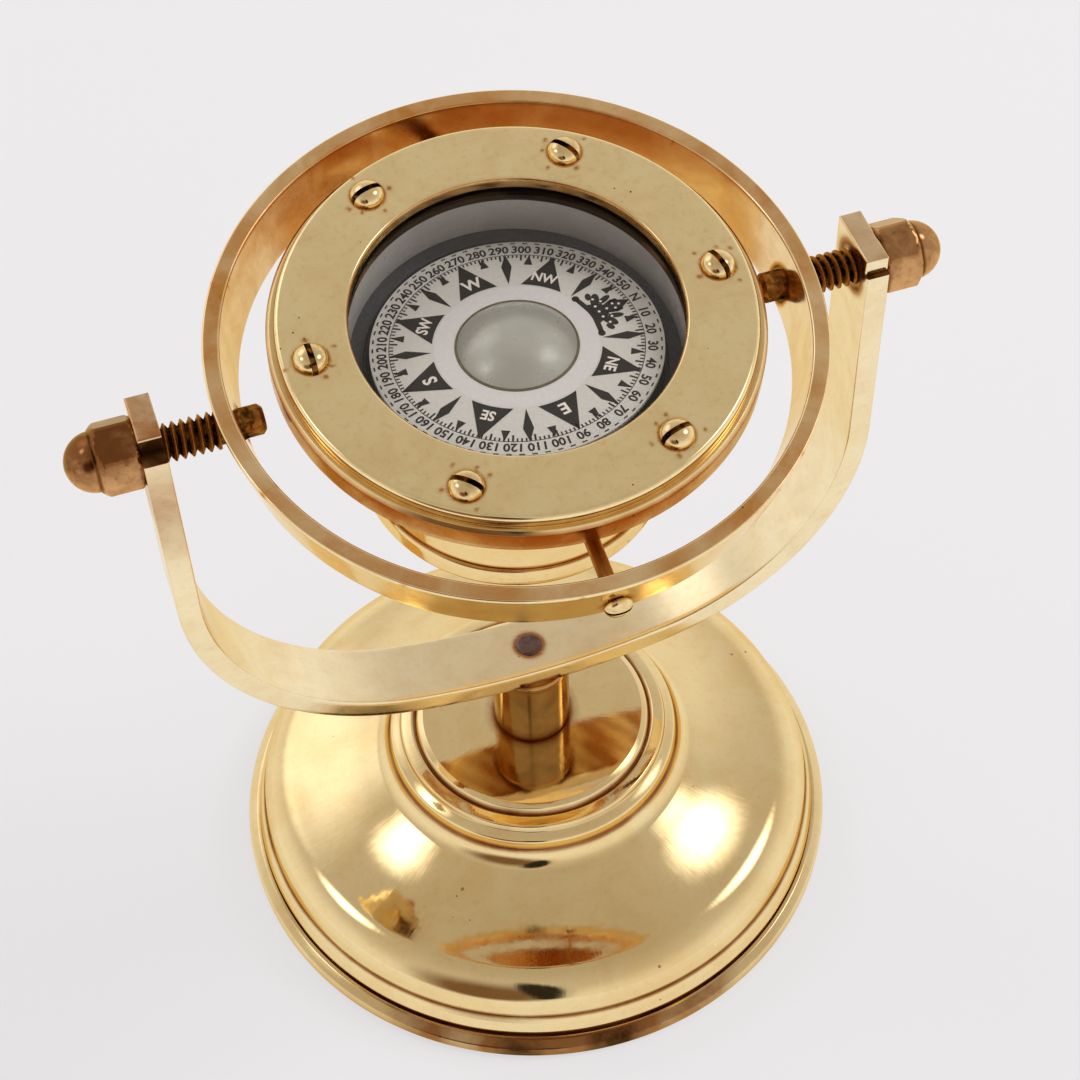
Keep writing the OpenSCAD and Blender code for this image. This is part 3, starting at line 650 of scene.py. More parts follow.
# %% Base shell
STEM_R, SEAT_Z = 7.3, 30.3
foot_line = rounded([(56.0, 0, 0), (58.0, 0, 0.25), (58.0, 2.2, 0.7), (56.3, 3.05, 0.5), (55.65, 3.15, 0.15),
                     (55.2, 2.5, 0.12), (54.9, 3.1, 0.12), (55.6, 4.6, 1.1), (55.0, 6.9, 1.0),
                     (54.2, 8.1, 0.1), (53.9, 8.6, 0)])
bell_line = rounded([(54.1, 8.2, 0), (53.7, 12.0, 3.6), (50.6, 15.3, 9.3), (40.0, 17.4, 64),
                     (29.2, 22.1, 4.4), (28.1, 24.8, 0)], 24)
plinth_line = rounded([(28.0, 24.9, 0), (27.6, 26.7, 0.7), (25.8, 27.5, 0.35), (25.5, 28.6, 0.5),
                       (23.5, 29.0, 0.4), (22.8, 28.75, 0.15), (22.2, 29.85, 0.3), (21.2, SEAT_Z, 0.35),
                       (2.4, SEAT_Z, 0)])
under_line = np.array([[2.4, 28.3], [20, 28.3], [25.5, 24.0], [27.2, 21.1], [39.4, 15.6], [49.6, 13.5],
                       [51.8, 11.2], [52.2, 7.6], [53.5, 5.5], [53.5, 2.2], [56, 2.2]])
base_line = finer(np.concatenate([foot_line[:-1], bell_line, plinth_line, under_line]), 1.2)
# Painted shade in the grooves, at the stem's seat and along the foot's lower edge.
base_groove_shade = near_circles([(55.2, 2.6, 0.55, 1.0), (54.1, 8.2, 0.4, 0.75), (28.2, 24.8, 0.4, 0.8),
                           (22.8, 28.75, 0.4, 0.85), (25.65, 27.9, 0.3, 0.45), (7.4, SEAT_Z, 0.7, 0.9),
                           (58.0, 0.0, 0.35, 0.5)])


def base_dirt(p):
    """The painted shade in the grooves, and a painted dark reflection on the front of the foot."""
    angle = np.degrees(np.arctan2(p[:, 1], p[:, 0]))
    # A painted dark reflection on the foot's front, brownish and uneven along it.
    front = np.exp(-((angle + 102) / 30) ** 2) * (0.84 + 0.3 * np.sin(angle / 3.1))
    foot = (p[:, 2] < 3.4) & (np.hypot(p[:, 0], p[:, 1]) > 55.9)
    return np.maximum(base_groove_shade(p), np.where(foot, np.clip(front, 0, 1), 0.0))


base_piece = turned("base", base_line, 312, closed=True, dirt=base_dirt)
finish(base_piece, base_brass, "stand", "base_shell")
print("base:", 2 * len(base_piece.data.polygons), "triangles")

# %% Stem and the end of the tie rod
COLLAR_Z, STEM_TOP, ROD_R, ROD_TOP = 46.2, 47.75, 2.38, 52.0
stem_line = rounded([(2.4, SEAT_Z, 0), (STEM_R, SEAT_Z, 0.1), (STEM_R, COLLAR_Z, 0.1), (7.45, 46.5, 0.1),
                     (7.45, 47.2, 0.15), (7.1, STEM_TOP, 0.1), (2.4, STEM_TOP, 0)])
# Painted shade where the stem meets the plinth, below its collar and at its top, where the yoke sits.
stem_crease_shade = near_circles([(STEM_R, SEAT_Z, 0.35, 1.0), (7.35, COLLAR_Z, 0.25, 0.6),
                           (7.1, STEM_TOP, 0.4, 0.8)])
stem_piece = turned("stem_turned", finer(stem_line, 1.0), 160, closed=True, dirt=stem_crease_shade)
finish(stem_piece, stem_brass, "stand", "stem")
rod_line = rounded([(0, 9.0, 0), (2.08, 9.0, 0.1), (ROD_R, 9.3, 0.1), (ROD_R, 51.65, 0.1), (2.0, 51.9, 0.1),
                    (0, ROD_TOP, 0)])
finish(turned("tie_rod_turned", rod_line, 64), rod_iron, "stand", "tie_rod")
print("stem and rod made")

# %% [markdown]
# ## Yoke
#
# The yoke is one strap of brass bent to a slack U. Its outer line is made of tangent arcs: a wide
# one below, a tighter one at each corner, and straight arms. A rounded rectangle is carried
# along that line, and the last 3 mm of each arm are narrower, where a notch was cut: deep on the
# left arm, a mere step on the right.

# %% Outer line and section of the strap
BEND_Z, BEND_R = 167.5, 120.0
CORNER_X, CORNER_Z, CORNER_R = 15.0, 96.06, 47.0
ARM_TOP, CUT_Z = 136.4, 133.4


def strap_path(steps_corner=40, steps_bottom=60):
    """Points of the outer line in XZ with the unit normal that points into the U. An arc's
    points are centre + radius * (cos a, sin a), and its inward normal is -(cos a, sin a)."""
    bend, corner = np.array([0.0, BEND_Z]), np.array([CORNER_X, CORNER_Z])
    join = math.atan2(CORNER_Z - BEND_Z, CORNER_X)
    heights = np.concatenate([[ARM_TOP, ARM_TOP, 136.39, 136.3, 136.15, 135.9], np.arange(135.5, 133.6, -0.4),
                              [133.42, CUT_Z, 133.25], np.arange(133.0, 97.0, -0.75)])
    a = np.linspace(0, join, steps_corner)
    b = np.linspace(join, -math.pi / 2, steps_bottom)[1:]
    points = np.concatenate([np.stack([np.full(len(heights), ARM_X), heights], 1),
                             corner + CORNER_R * np.stack([np.cos(a), np.sin(a)], 1),
                             bend + BEND_R * np.stack([np.cos(b), np.sin(b)], 1)])
    angle = np.concatenate([np.zeros(len(heights)), a, b])
    normals = -np.stack([np.cos(angle), np.sin(angle)], 1)
    mirror = np.array([-1, 1])
    return [np.concatenate([half, half[-2::-1] * mirror]) for half in (points, normals)]


def rounded_box_section(depth, width, radius, steps=5):
    """A rectangle 0..depth by -width/2..width/2 with rounded corners, as points in order."""
    out = []
    for cx, cy, start in ((depth - radius, width / 2 - radius, 0), (radius, width / 2 - radius, 90),
                          (radius, radius - width / 2, 180), (depth - radius, radius - width / 2, 270)):
        a = np.radians(start + np.linspace(0, 90, steps + 1))
        out.append(np.stack([cx + radius * np.cos(a), cy + radius * np.sin(a)], 1))
    return np.concatenate(out)


path, inward = strap_path()
section = rounded_box_section(STRAP_T, STRAP_W, 0.4)
section = finer(np.concatenate([section, section[:1]]), 0.7)[:-1]
print("strap:", len(path), "places along it,", len(section), "points round it")

# %% Strap carried along its line
HALF_W = STRAP_W / 2
cut = np.where(path[:, 0] < 0, 3.0, 0.9)
y_low = -HALF_W + np.where(path[:, 1] > CUT_Z + 0.01, cut, 0.0)
# The last six rows at each end are drawn in by these lengths, which round the end off.
drawn_in = [0.9, 0.35, 0.27, 0.1, 0.02, 0.0]
shrink = np.zeros(len(path))
shrink[:6], shrink[-6:] = drawn_in, drawn_in[::-1]
depth = np.clip(section[None, :, 0], shrink[:, None], STRAP_T - shrink[:, None])
across = y_low[:, None] + (section[None, :, 1] + HALF_W) / STRAP_W * (HALF_W - y_low[:, None])
across = np.clip(across, (y_low + shrink)[:, None], HALF_W - shrink[:, None])
grid = np.stack([path[:, None, 0] + depth * inward[:, None, 0], across,
                 path[:, None, 1] + depth * inward[:, None, 1]], -1)
rows, count = grid.shape[:2]
ids = np.arange(rows * count).reshape(rows, count)
quads = np.stack([ids[:-1], np.roll(ids[:-1], -1, 1), np.roll(ids[1:], -1, 1), ids[1:]], -1).reshape(-1, 4)
cap_a = np.stack([np.full(count, rows * count), np.roll(ids[0], -1), ids[0]], 1)
cap_b = np.stack([np.full(count, rows * count + 1), ids[-1], np.roll(ids[-1], -1)], 1)
points = np.concatenate([grid.reshape(-1, 3), [grid[0].mean(0), grid[-1].mean(0)]])


def yoke_dirt(p):
    """Painted shade round the stud holes, in the notches, where the stem and the rod meet the strap
    and on the underside below the bend; brown stains on the flat ends of the arms and on the left arm."""
    x, y, z = p.T
    left = x < 0
    # painted shade round the stud holes, in the notches, and where the stem and rod meet the strap
    hole = np.hypot(y, z - PIVOT[2])
    near = 0.9 * np.exp(-((hole - 3.9) / 1.1) ** 2) * (z > 120)
    in_cut = (z > 133.3) & (z < np.where(left, 136.1, 133.45)) & (y < np.where(left, -3.1, -5.1))
    notch = np.where(in_cut, 1.0, 0.0)
    flat_end = np.where(z > ARM_TOP - 0.2, np.where(left, 0.45, 0.3), 0.0)
    foot = np.hypot(x, y) + np.where(z < 48.6, 0, 9)
    rod = np.hypot(x, y) + np.where(z > 50, 0, 9)
    stain = 0.30 * np.exp(-((z - 122) / 9) ** 2) * left
    # painted shade on the underside of the bend, uneven along it
    under = 0.36 + 0.14 * np.sin(x / 1.7) + 0.1 * np.sin(x * 1.3 + y)
    under = under * np.clip((44 - np.abs(x)) / 16, 0, 1)
    under = np.where(np.hypot(x, z - BEND_Z) > BEND_R - 0.3, under, 0.0)
    return np.max([near, notch, flat_end, stain, under, np.exp(-((foot - 7.4) / 0.8) ** 2),
                   0.7 * np.exp(-((rod - 2.5) / 0.6) ** 2)], axis=0)


yoke_piece = make_mesh("yoke_strap", points, [quads, cap_a, cap_b], values=yoke_dirt(points))
finish(yoke_piece, yoke_brass, "stand", "yoke")
print("yoke:", len(points), "points")

# %% [markdown]
# ## Trunnions
#
# Each arm carries a stud with a coarse thread, turned down at its inner end to the smooth pivot
# that runs in the ring. The thread is a true helix: the radius at a point depends on its height
# minus its turn, so the crest climbs one pitch in each turn.

# %% Threaded studs
STUB_X, SHOULDER_X, ARM_IN_X, STUD_END = 41.7, 49.12, ARM_X - STRAP_T, 66.5
THREAD_DEEP = 0.95


def thread(r, z, a):
    """Radius of a V thread with narrow crests: a triangle wave of z / pitch - a / (2 pi), a
    little clipped and as deep as the thread, that fades in after the shoulder."""
    turn = (z / PITCH - a / (2 * math.pi)) % 1.0
    wave = np.clip((1 - np.abs(2 * turn - 1) - 0.08) / 0.80, 0, 1)
    inside = (z > SHOULDER_X + 0.15) & (z < ARM_IN_X + 0.4)
    fade = np.clip((z - SHOULDER_X) / 0.5, 0, 1)
    return np.where(inside, STUD_R - THREAD_DEEP * fade * (1 - wave), r)


stud_line = np.concatenate([
    rounded([(0, STUB_X, 0), (1.85, STUB_X, 0.15), (2.5, STUB_X + 0.65, 0.15), (2.5, SHOULDER_X, 0)]),
    np.stack([np.full(120, STUD_R - 0.02), np.linspace(SHOULDER_X + 0.1, ARM_IN_X + 0.5, 120)], 1),
    rounded([(STUD_R, ARM_IN_X + 0.6, 0), (STUD_R, STUD_END, 0.4), (0, STUD_END, 0)])])
stud_line = finer(stud_line, 1.0)


def stud_dirt(p):
    """Darker in the thread's roots than on its crests; the pivot is darkened all over, with
    painted shade deepening it where it enters the ring, and less on its end."""
    r = np.hypot(p[:, 0], p[:, 1])
    enters = np.exp(-((p[:, 2] - 45.8) / 1.2) ** 2)
    return np.where(p[:, 2] > SHOULDER_X, np.clip((STUD_R + 0.1 - r) / 0.7, 0, 1), 0.72 + 0.25 * enters)


for side, node in ((1, "trunnion_stud_right"), (-1, "trunnion_stud_left")):
    piece = turned(node + "_threaded", stud_line, 120, lay=along_x(side), dirt=stud_dirt, crisp=48,
                   radius=thread)
    finish(piece, thread_brass, "stand", node)
print("studs:", len(piece.data.vertices), "points each")

# %% Acorn nuts
ACROSS_FLATS, CORNER_RADIUS, HEX_END, DOME_R = 11.0, 6.18, 68.7, 4.9
# How much darker each nut's upper side is, the left one more: partly tarnished bronze and partly a painted
# dark reflection.
NUT_TARNISH_AND_REFLECTION = {1: 0.22, -1: 0.50}


def nut_radius(r, z, a):
    """The smaller of the lathe's profile and the hexagon, whose radius is half the width across
    flats over the cosine of the angle from the middle of a flat."""
    turn = (a - math.radians(53.0)) % math.radians(60.0) - math.radians(30.0)
    return np.minimum(r, ACROSS_FLATS / 2 / np.cos(turn))


def nut_dirt(p, side):
    """Painted shade at the arm and at the foot of the dome. The upper side is darker, more so on
    the left nut, partly tarnished and partly a painted dark reflection: the amount falls off with
    the angle from the top, and the dome's end keeps some."""
    lines = near_circles([(5.3, ARM_X, 0.7, 0.9), (5.0, HEX_END + 0.05, 0.4, 0.95)])(p)
    upward = -p[:, 0] / np.maximum(np.hypot(p[:, 0], p[:, 1]), 1e-6)
    return np.maximum(lines, NUT_TARNISH_AND_REFLECTION[side] * np.clip(0.25 + 1.1 * upward, 0.12, 1.0))


rise = np.radians(np.linspace(2, 90, 28))
nut_line = np.concatenate([
    rounded([(0, ARM_X, 0), (5.5, ARM_X, 0), (CORNER_RADIUS, 62.6, 0.3), (CORNER_RADIUS, 67.7, 0.3),
             (5.15, HEX_END, 0.25), (4.98, HEX_END + 0.15, 0)]),
    np.stack([DOME_R * np.cos(rise), HEX_END + DOME_R * np.sin(rise)], 1)])
nut_line[-1, 0] = 0.0
nuts = [turned("nut_%d" % (side > 0), finer(nut_line, 0.5), 180, lay=along_x(side), radius=nut_radius,
               crisp=24, dirt=lambda p, side=side: nut_dirt(p, side)) for side in (1, -1)]
finish(joined("acorn_nuts_turned", nuts), nut_bronze, "stand", "acorn_nuts")
print("acorn nuts:", ACROSS_FLATS, "mm across flats")

# %% [markdown]
# ## Gimbal ring
#
# The ring is a flat band that leans inward a little, turned from a casting. Its upper edge was
# faced and never polished, so it is browner and duller than the sides.

# %% Ring
RING_TOP, RING_LOW, RING_R, RING_T, LEAN = 6.6, -4.0, 49.7, 2.9, 2.4
RING_H = RING_TOP - RING_LOW
AXIS_R = RING_R - LEAN * RING_TOP / RING_H
ring_line = rounded([(RING_R - RING_T / 2, RING_TOP, 0), (RING_R, RING_TOP, 0.4),
                     (RING_R - LEAN, RING_LOW, 0.7), (RING_R - LEAN - RING_T / 2, RING_LOW, 0),
                     (RING_R - LEAN - RING_T, RING_LOW, 0.7), (RING_R - RING_T, RING_TOP, 0.45),
                     (RING_R - RING_T / 2, RING_TOP, 0)], 8)
ring_line = finer(ring_line, 0.6)[:-1]
# Brown spots on the top edge: bearing in degrees, width in mm and amount of each.
RING_SPOTS = ((-46, 0.5, 0.8), (-28, 0.35, 0.7), (38, 0.6, 0.6), (97, 0.8, 0.5), (152, 0.5, 0.6),
              (201, 0.7, 0.7), (232, 0.4, 0.6), (263, 0.4, 0.7), (305, 0.5, 0.5))


def ring_dirt(p):
    """Painted shade round the four pivot holes and over the inner wall, most at its back, brown
    spots along the top edge, a thin even stain on the flat of the top edge, and the bottom edge
    evenly darker."""
    x, y, z = p.T
    angle, r = np.arctan2(y, x), np.hypot(x, y)
    # painted shade round the pivot holes
    each = [0.9 * np.exp(-((np.hypot(y, z) - 2.9) / 0.7) ** 2),
            0.9 * np.exp(-((np.hypot(x, z) - 1.9) / 0.8) ** 2)]
    for degrees, width, amount in RING_SPOTS:
        gap = (angle - math.radians(degrees) + math.pi) % (2 * math.pi) - math.pi
        each.append(amount * np.exp(-(np.hypot(gap * 48, z - (RING_TOP - 0.6)) / width) ** 2))
    on_top = (z > RING_TOP - 0.02) & (r < RING_R - 0.35) & (r > RING_R - RING_T + 0.35)
    each.append(np.where(on_top, 0.31 + 0.08 * np.sin(5 * angle) + 0.05 * np.sin(23 * angle + 2), 0.0))
    # painted shade over the inner wall, most at the back
    wall = RING_R - RING_T - LEAN * (RING_TOP - z) / RING_H
    each.append(np.where(r < wall + 0.3, 0.06 + 0.36 * np.clip(np.sin(angle), 0, 1), 0.0))
    each.append(np.where(z < RING_LOW + 0.2, 0.4, 0.0))
    return np.max(each, axis=0)


ring_piece = turned("gimbal_ring_band", ring_line, 720, closed=True, place=in_gimbals, dirt=ring_dirt)
finish(ring_piece, ring_brass, "ring", "gimbal_ring")
print("ring:", len(ring_piece.data.polygons), "faces, band radius", round(AXIS_R, 2), "mm at the pivots")

# %% [markdown]
# ## Bowl
#
# The bowl is a casting turned inside and out. A wide flange carries the bezel, below it the card
# chamber is hidden by the flange, and a narrower body with a beaded bottom cap hangs beneath.
# The pivots' bosses are in the flange's shadow.

# %% Bowl and its bosses
FLANGE_TOP, FLANGE_LOW, FLANGE_R = 8.94, 4.28, 39.44
BODY_R, BODY_IN, BODY_END, FLOOR_Z = 25.8, 24.2, -24.75, -18.5
CHAMBER_R, CHAMBER_LOW, GROOVE_R, GROOVE_LOW = 28.2, -3.6, 30.8, 5.2
BOSS_R, BOSS_END, PLUG_Z, PLUG_END = 3.2, 33.0, -15.0, 27.2
bowl_out = rounded([(34.0, FLANGE_TOP, 0), (38.85, FLANGE_TOP, 0.15), (FLANGE_R, 8.35, 0.2),
                    (FLANGE_R, FLANGE_LOW, 0.35), (30.0, FLANGE_LOW, 0.5), (30.0, -6.0, 1.0),
                    (BODY_R, -9.0, 1.0), (BODY_R, BODY_END, 0.12), (BODY_IN, BODY_END, 0),
                    (BODY_IN, -20.0, 0), (0, -20.0, 0)])
bowl_in = np.array([[0, FLOOR_Z], [23.9, FLOOR_Z], [BODY_IN, -18.2], [BODY_IN, CHAMBER_LOW],
                    [CHAMBER_R, CHAMBER_LOW], [CHAMBER_R, GROOVE_LOW], [GROOVE_R, GROOVE_LOW],
                    [GROOVE_R, FLANGE_TOP], [34.0, FLANGE_TOP]])
at_plug = along_y(1, PLUG_Z)


def bowl_dirt(p):
    """Painted shade in the corners and joints, and a painted dark reflection round the flange's side
    and the outside below it, varied a little with the angle.
    """
    lines = near_circles([(FLANGE_R, 8.2, 0.3, 0.3), (30.0, FLANGE_LOW, 0.9, 0.8), (BODY_R, -24.8, 0.3, 0.4),
                          (38.2, FLANGE_TOP, 0.4, 0.7)])(p)
    angle = np.arctan2(p[:, 1], p[:, 0])
    # a painted dark reflection round the flange's side and the outside below it
    blotch = 0.44 + 0.07 * np.sin(4 * angle + 1) + 0.04 * np.sin(11 * angle + 3)
    side = (np.hypot(p[:, 0], p[:, 1]) > 29.5) & (p[:, 2] < 8.6)
    return np.maximum(lines, np.where(side, blotch, 0.0))


bowl_line = finer(np.concatenate([bowl_out, bowl_in]), 1.0)
boss_line = rounded([(0, 28.5, 0), (BOSS_R, 28.5, 0), (BOSS_R, BOSS_END, 0.4), (0, BOSS_END, 0)])
plug_boss_line = rounded([(0, 24.8, 0), (3.6, 24.8, 0), (3.6, PLUG_END, 0.3), (0, PLUG_END, 0)])
parts = [turned("bowl_shell", bowl_line, 360, place=in_gimbals, dirt=bowl_dirt)]
# The bosses get painted shade round the holes of the pivot screws.
for side in (1, -1):
    parts.append(turned("boss_%d" % (side > 0), boss_line, 48, place=in_gimbals, lay=along_y(side),
                        dirt=near_circles([(1.3, BOSS_END, 0.7, 0.9)])))
parts.append(turned("plug_boss", plug_boss_line, 48, place=in_gimbals, lay=at_plug))
bowl_piece = finish(joined("bowl_casting", parts), bowl_brass, "bowl", "bowl")
print("bowl made, flange", FLANGE_R, "mm in radius")

# %% Enamel in the bowl's chamber
# The liquid chamber is painted dark grey from its floor to the glass, a grey that stands partly for
# painted shade below the card: its wall has one radius low down and a larger one above, and each
# face is chosen by the place of its middle in the bowl's own frame.
bowl_piece.data.materials.append(grey_enamel_and_shade)
middles = np.empty(len(bowl_piece.data.polygons) * 3)
bowl_piece.data.polygons.foreach_get("center", middles)
middles = (middles.reshape(-1, 3) / MM - PIVOT) @ TILTED
middle_r, middle_z = np.hypot(middles[:, 0], middles[:, 1]), middles[:, 2]
inside = (middle_r < BODY_IN + 0.3) | ((middle_r < CHAMBER_R + 0.1) & (middle_z > -6))
painted = inside & (middle_z > FLOOR_Z - 0.2) & (middle_z < GROOVE_LOW + 0.1)
bowl_piece.data.polygons.foreach_set("material_index", painted.astype(np.int32))
print("painted faces:", int(painted.sum()))

# %% Bottom cap and its seal
CAP_TOP, CAP_LOW, CAP_R, SPIGOT_R = -24.85, -31.0, 26.5, 24.1


def bowl_ring(name, line, steps, material, node, **more):
    """A turned piece that belongs to the bowl, in its place and with its finish."""
    return finish(turned(name, line, steps, place=in_gimbals, **more), material, "bowl", node)


cap_line = rounded([(0, CAP_LOW, 0), (24.5, CAP_LOW, 1.2), (CAP_R, -29.0, 1.2), (CAP_R, CAP_TOP, 0.8),
                    (SPIGOT_R, CAP_TOP, 0), (SPIGOT_R, -22.3, 0), (22.5, -22.3, 0), (22.5, -30.0, 0.4),
                    (0, -30.0, 0)], 8)
# Painted shade where the cap meets the body, and a dark spot at the middle of its underside.
bowl_ring("bowl_bottom_cap", finer(cap_line, 1.0), 300, bowl_brass, "bowl_bottom",
          dirt=near_circles([(BODY_R, CAP_TOP, 0.4, 0.4), (1.0, CAP_LOW, 0.8, 0.8)]))
seal_line = [[25.0, BODY_END], [25.6, BODY_END], [25.6, CAP_TOP], [24.15, CAP_TOP], [24.15, BODY_END]]
bowl_ring("bottom_seal", seal_line, 240, gasket_rubber, "bottom_gasket", closed=True)
print("cap", 2 * CAP_R, "mm across")

# %% Bezel
BEZEL_TOP, BEZEL_R, BEZEL_IN = 10.94, 38.1, 26.5
SCREW_TURNS = [-1.5 + 60 * k for k in range(6)]
SLOT_TURNS = [108, 69, 76, 92, 82, 77]
SCREW_R, HEAD_R, HEAD_H = 33.2, 2.75, 1.9
# Specks beside a screw: turn in degrees, distance from its axis and width in mm.
SPECKS = ((40, 4.0, 0.35), (75, 3.6, 0.3), (130, 4.3, 0.3), (200, 3.8, 0.4), (300, 4.4, 0.3))
bezel_line = rounded([(32.0, FLANGE_TOP, 0), (BEZEL_R, FLANGE_TOP, 0.3), (BEZEL_R, BEZEL_TOP, 0.85),
                      (BEZEL_IN, BEZEL_TOP, 0.6), (BEZEL_IN, FLANGE_TOP, 0.1), (32.0, FLANGE_TOP, 0)], 8)


def bezel_dirt(p):
    """An even stain on the edge of the opening, a line of painted shade round each screw head, and
    a few brown specks beside it."""
    x, y = p[:, 0], p[:, 1]
    out = np.where(np.hypot(x, y) < BEZEL_IN + 0.3, 0.42, 0.0)
    for k, degrees in enumerate(SCREW_TURNS):
        a = math.radians(degrees)
        u, v = x - SCREW_R * math.cos(a), y - SCREW_R * math.sin(a)
        # painted shade round the screw head
        out = np.maximum(out, 0.75 * np.exp(-((np.hypot(u, v) - HEAD_R) / 0.3) ** 2))
        for turn, reach, width in SPECKS:
            b = math.radians(turn + 83 * k)
            gap = np.hypot(u - reach * math.cos(b), v - reach * math.sin(b))
            out = np.maximum(out, 0.8 * np.exp(-(gap / width) ** 2))
    return out


bezel_piece = bowl_ring("bezel_ring", finer(bezel_line, 0.5)[:-1], 720, bezel_brass, "bezel", closed=True,
                        dirt=bezel_dirt)
print("bezel:", len(bezel_piece.data.polygons), "faces")

# %% [markdown]
# ## Screws
#
# Six slotted round heads hold the bezel, each left at its own angle. A slot can't follow circles,
# so a head is made on straight lines: across the slot at each place along it, the lines run
# from the rim to the slot's edge, down its wall, over its floor and out again.

# %% A slotted round head


def slotted_head(name, place, radius, height, slot_w, slot_d, rows=49, side=12, power=2.3, rim_dirt=0.7):
    """Grid over a disc. x runs along the slot as radius * sin(u); y runs from rim to rim through
    the slot's edges. z = height * (1 - (d / radius) ** power) ** (1 / power), with d the
    distance from the axis, and never above the floor inside the slot. The underside is flat.
    Painted shade fills the slot and lies along the rim, as deep as rim_dirt. place(points) carries the head
    to its seat."""
    u = np.linspace(-math.pi / 2, math.pi / 2, rows)
    x = radius * np.sin(u)
    chord = np.sqrt(np.maximum(radius ** 2 - x ** 2, 0))
    edge = np.minimum(slot_w / 2, chord)
    s = np.sin(np.linspace(0, math.pi / 2, side))
    right = edge[:, None] + s[None, :] * (chord - edge)[:, None]
    inner = edge[:, None] * np.array([0.999, 0.97, 0.5])[None, :]
    y = np.concatenate([-right[:, ::-1], -inner, np.zeros((rows, 1)), inner[:, ::-1], right], 1)
    in_slot = np.zeros(y.shape, dtype=bool)
    in_slot[:, side:side + 7] = True
    d = np.minimum(np.hypot(x[:, None], y) / radius, 1.0)
    z = height * (1 - d ** power) ** (1 / power)
    z = np.where(in_slot, np.minimum(z, height - slot_d), z)
    top = np.stack([np.broadcast_to(x[:, None], y.shape), y, z], -1)
    points = np.concatenate([top.reshape(-1, 3), [[0, 0, -0.02]]])
    ids = np.arange(y.size).reshape(y.shape)
    quads = np.stack([ids[:-1, :-1], ids[1:, :-1], ids[1:, 1:], ids[:-1, 1:]], -1).reshape(-1, 4)
    rim = np.concatenate([ids[:, 0], ids[-1, 1:], ids[-2::-1, -1], ids[0, -2:0:-1]])
    under = np.stack([rim, np.full(len(rim), y.size), np.roll(rim, -1)], 1)
    grime_and_shade = np.where(in_slot, 1.0, 0.0)
    grime_and_shade[:, [0, -1]] = rim_dirt
    return one_skin(make_mesh(name, place(points), [quads, under], 38, np.append(grime_and_shade, rim_dirt)))


def one_skin(piece):
    """Merges the points that fall together along the rim, so that the head is one closed skin."""
    work = bmesh.new()
    work.from_mesh(piece.data)
    bmesh.ops.remove_doubles(work, verts=work.verts, dist=2e-7)
    bmesh.ops.dissolve_degenerate(work, edges=work.edges, dist=1e-8)
    work.to_mesh(piece.data)
    work.free()
    piece.data.update()
    return piece


def raised(points, height):
    """Moves points up by a height."""
    return points + np.array([0, 0, height])


# %% Screws of the bezel


def on_bezel(points, degrees, slot):
    """Turns a head by its slot's angle and sets it on the bezel, at the screw's own angle."""
    a = math.radians(degrees)
    seat = np.array([SCREW_R * math.cos(a), SCREW_R * math.sin(a), BEZEL_TOP])
    return in_gimbals(points @ turn_about_z(math.radians(degrees + slot)).T + seat)


heads = []
for k, turns in enumerate(zip(SCREW_TURNS, SLOT_TURNS)):
    heads.append(slotted_head("head_%d" % k, lambda p: on_bezel(p, *turns), HEAD_R, HEAD_H, 0.95, 1.0))
finish(joined("bezel_screw_heads", heads), screw_brass, "bowl", "bezel_screws")
print("bezel screws:", len(heads))

# %% Pivot screws of the bowl, and the filler plug
PIN_R, PIN_HEAD_R, PLUG_R, PLUG_HEAD_R = 1.25, 2.25, 2.0, 2.8
# The ring leans, so a head needs a gap under it of what the band gains over the head's radius.
HEAD_Y = AXIS_R + PIN_HEAD_R * LEAN / RING_H + 0.15
shank = finer(rounded([(0, 29.0, 0), (PIN_R, 29.0, 0), (PIN_R, HEAD_Y + 0.1, 0), (0, HEAD_Y + 0.1, 0)]), 0.8)
shanks, pivot_heads = [], []
for side in (1, -1):
    lay = along_y(side)
    # The shank is a little darker all along, and dark with painted shade where it passes through the ring.
    shanks.append(turned("shank_%d" % (side > 0), shank, 48, place=in_gimbals, lay=lay,
                         dirt=lambda p: np.where(p[:, 2] < HEAD_Y - 4, 0.35, 0.8)))
    pivot_heads.append(slotted_head("pivot_head_%d" % (side > 0),
                                    lambda p: in_gimbals(lay(raised(p, HEAD_Y))),
                                    PIN_HEAD_R, 1.4, 0.6, 0.6, 37, 9, rim_dirt=0.4))
finish(joined("bowl_pivot_heads", pivot_heads), screw_brass, "bowl", "bowl_pivot_screws")
finish(joined("bowl_pivot_shanks", shanks), thread_brass, "bowl", "bowl_pivot_screws")
plug_line = rounded([(0, 24.25, 0), (PLUG_R, 24.25, 0), (PLUG_R, PLUG_END, 0), (0, PLUG_END, 0)])
plug = [turned("plug_stem", plug_line, 48, place=in_gimbals, lay=at_plug),
        slotted_head("plug_head", lambda p: in_gimbals(at_plug(raised(p, PLUG_END))), PLUG_HEAD_R, 1.2,
                     0.6, 0.6, 37, 9, 4.0, 0.4)]
finish(joined("filler_plug_turned", plug), bowl_brass, "bowl", "filler_plug")
print("pivot heads stand", round(HEAD_Y, 2), "mm from the middle")

# %% [markdown]
# ## Inside the bowl
#
# Under the bezel a black rubber channel holds the glass by its edge; its inner wall is as tall as
# the whole dark band under the bezel, so its black stands partly for painted shade. Below it a white
# enamelled liner goes down to a dark ring that keeps the card from touching the wall, and that
# ring's grey stands partly for painted shade in the gap round the card. The glass, the rubber and
# the rings are plain turned shapes.

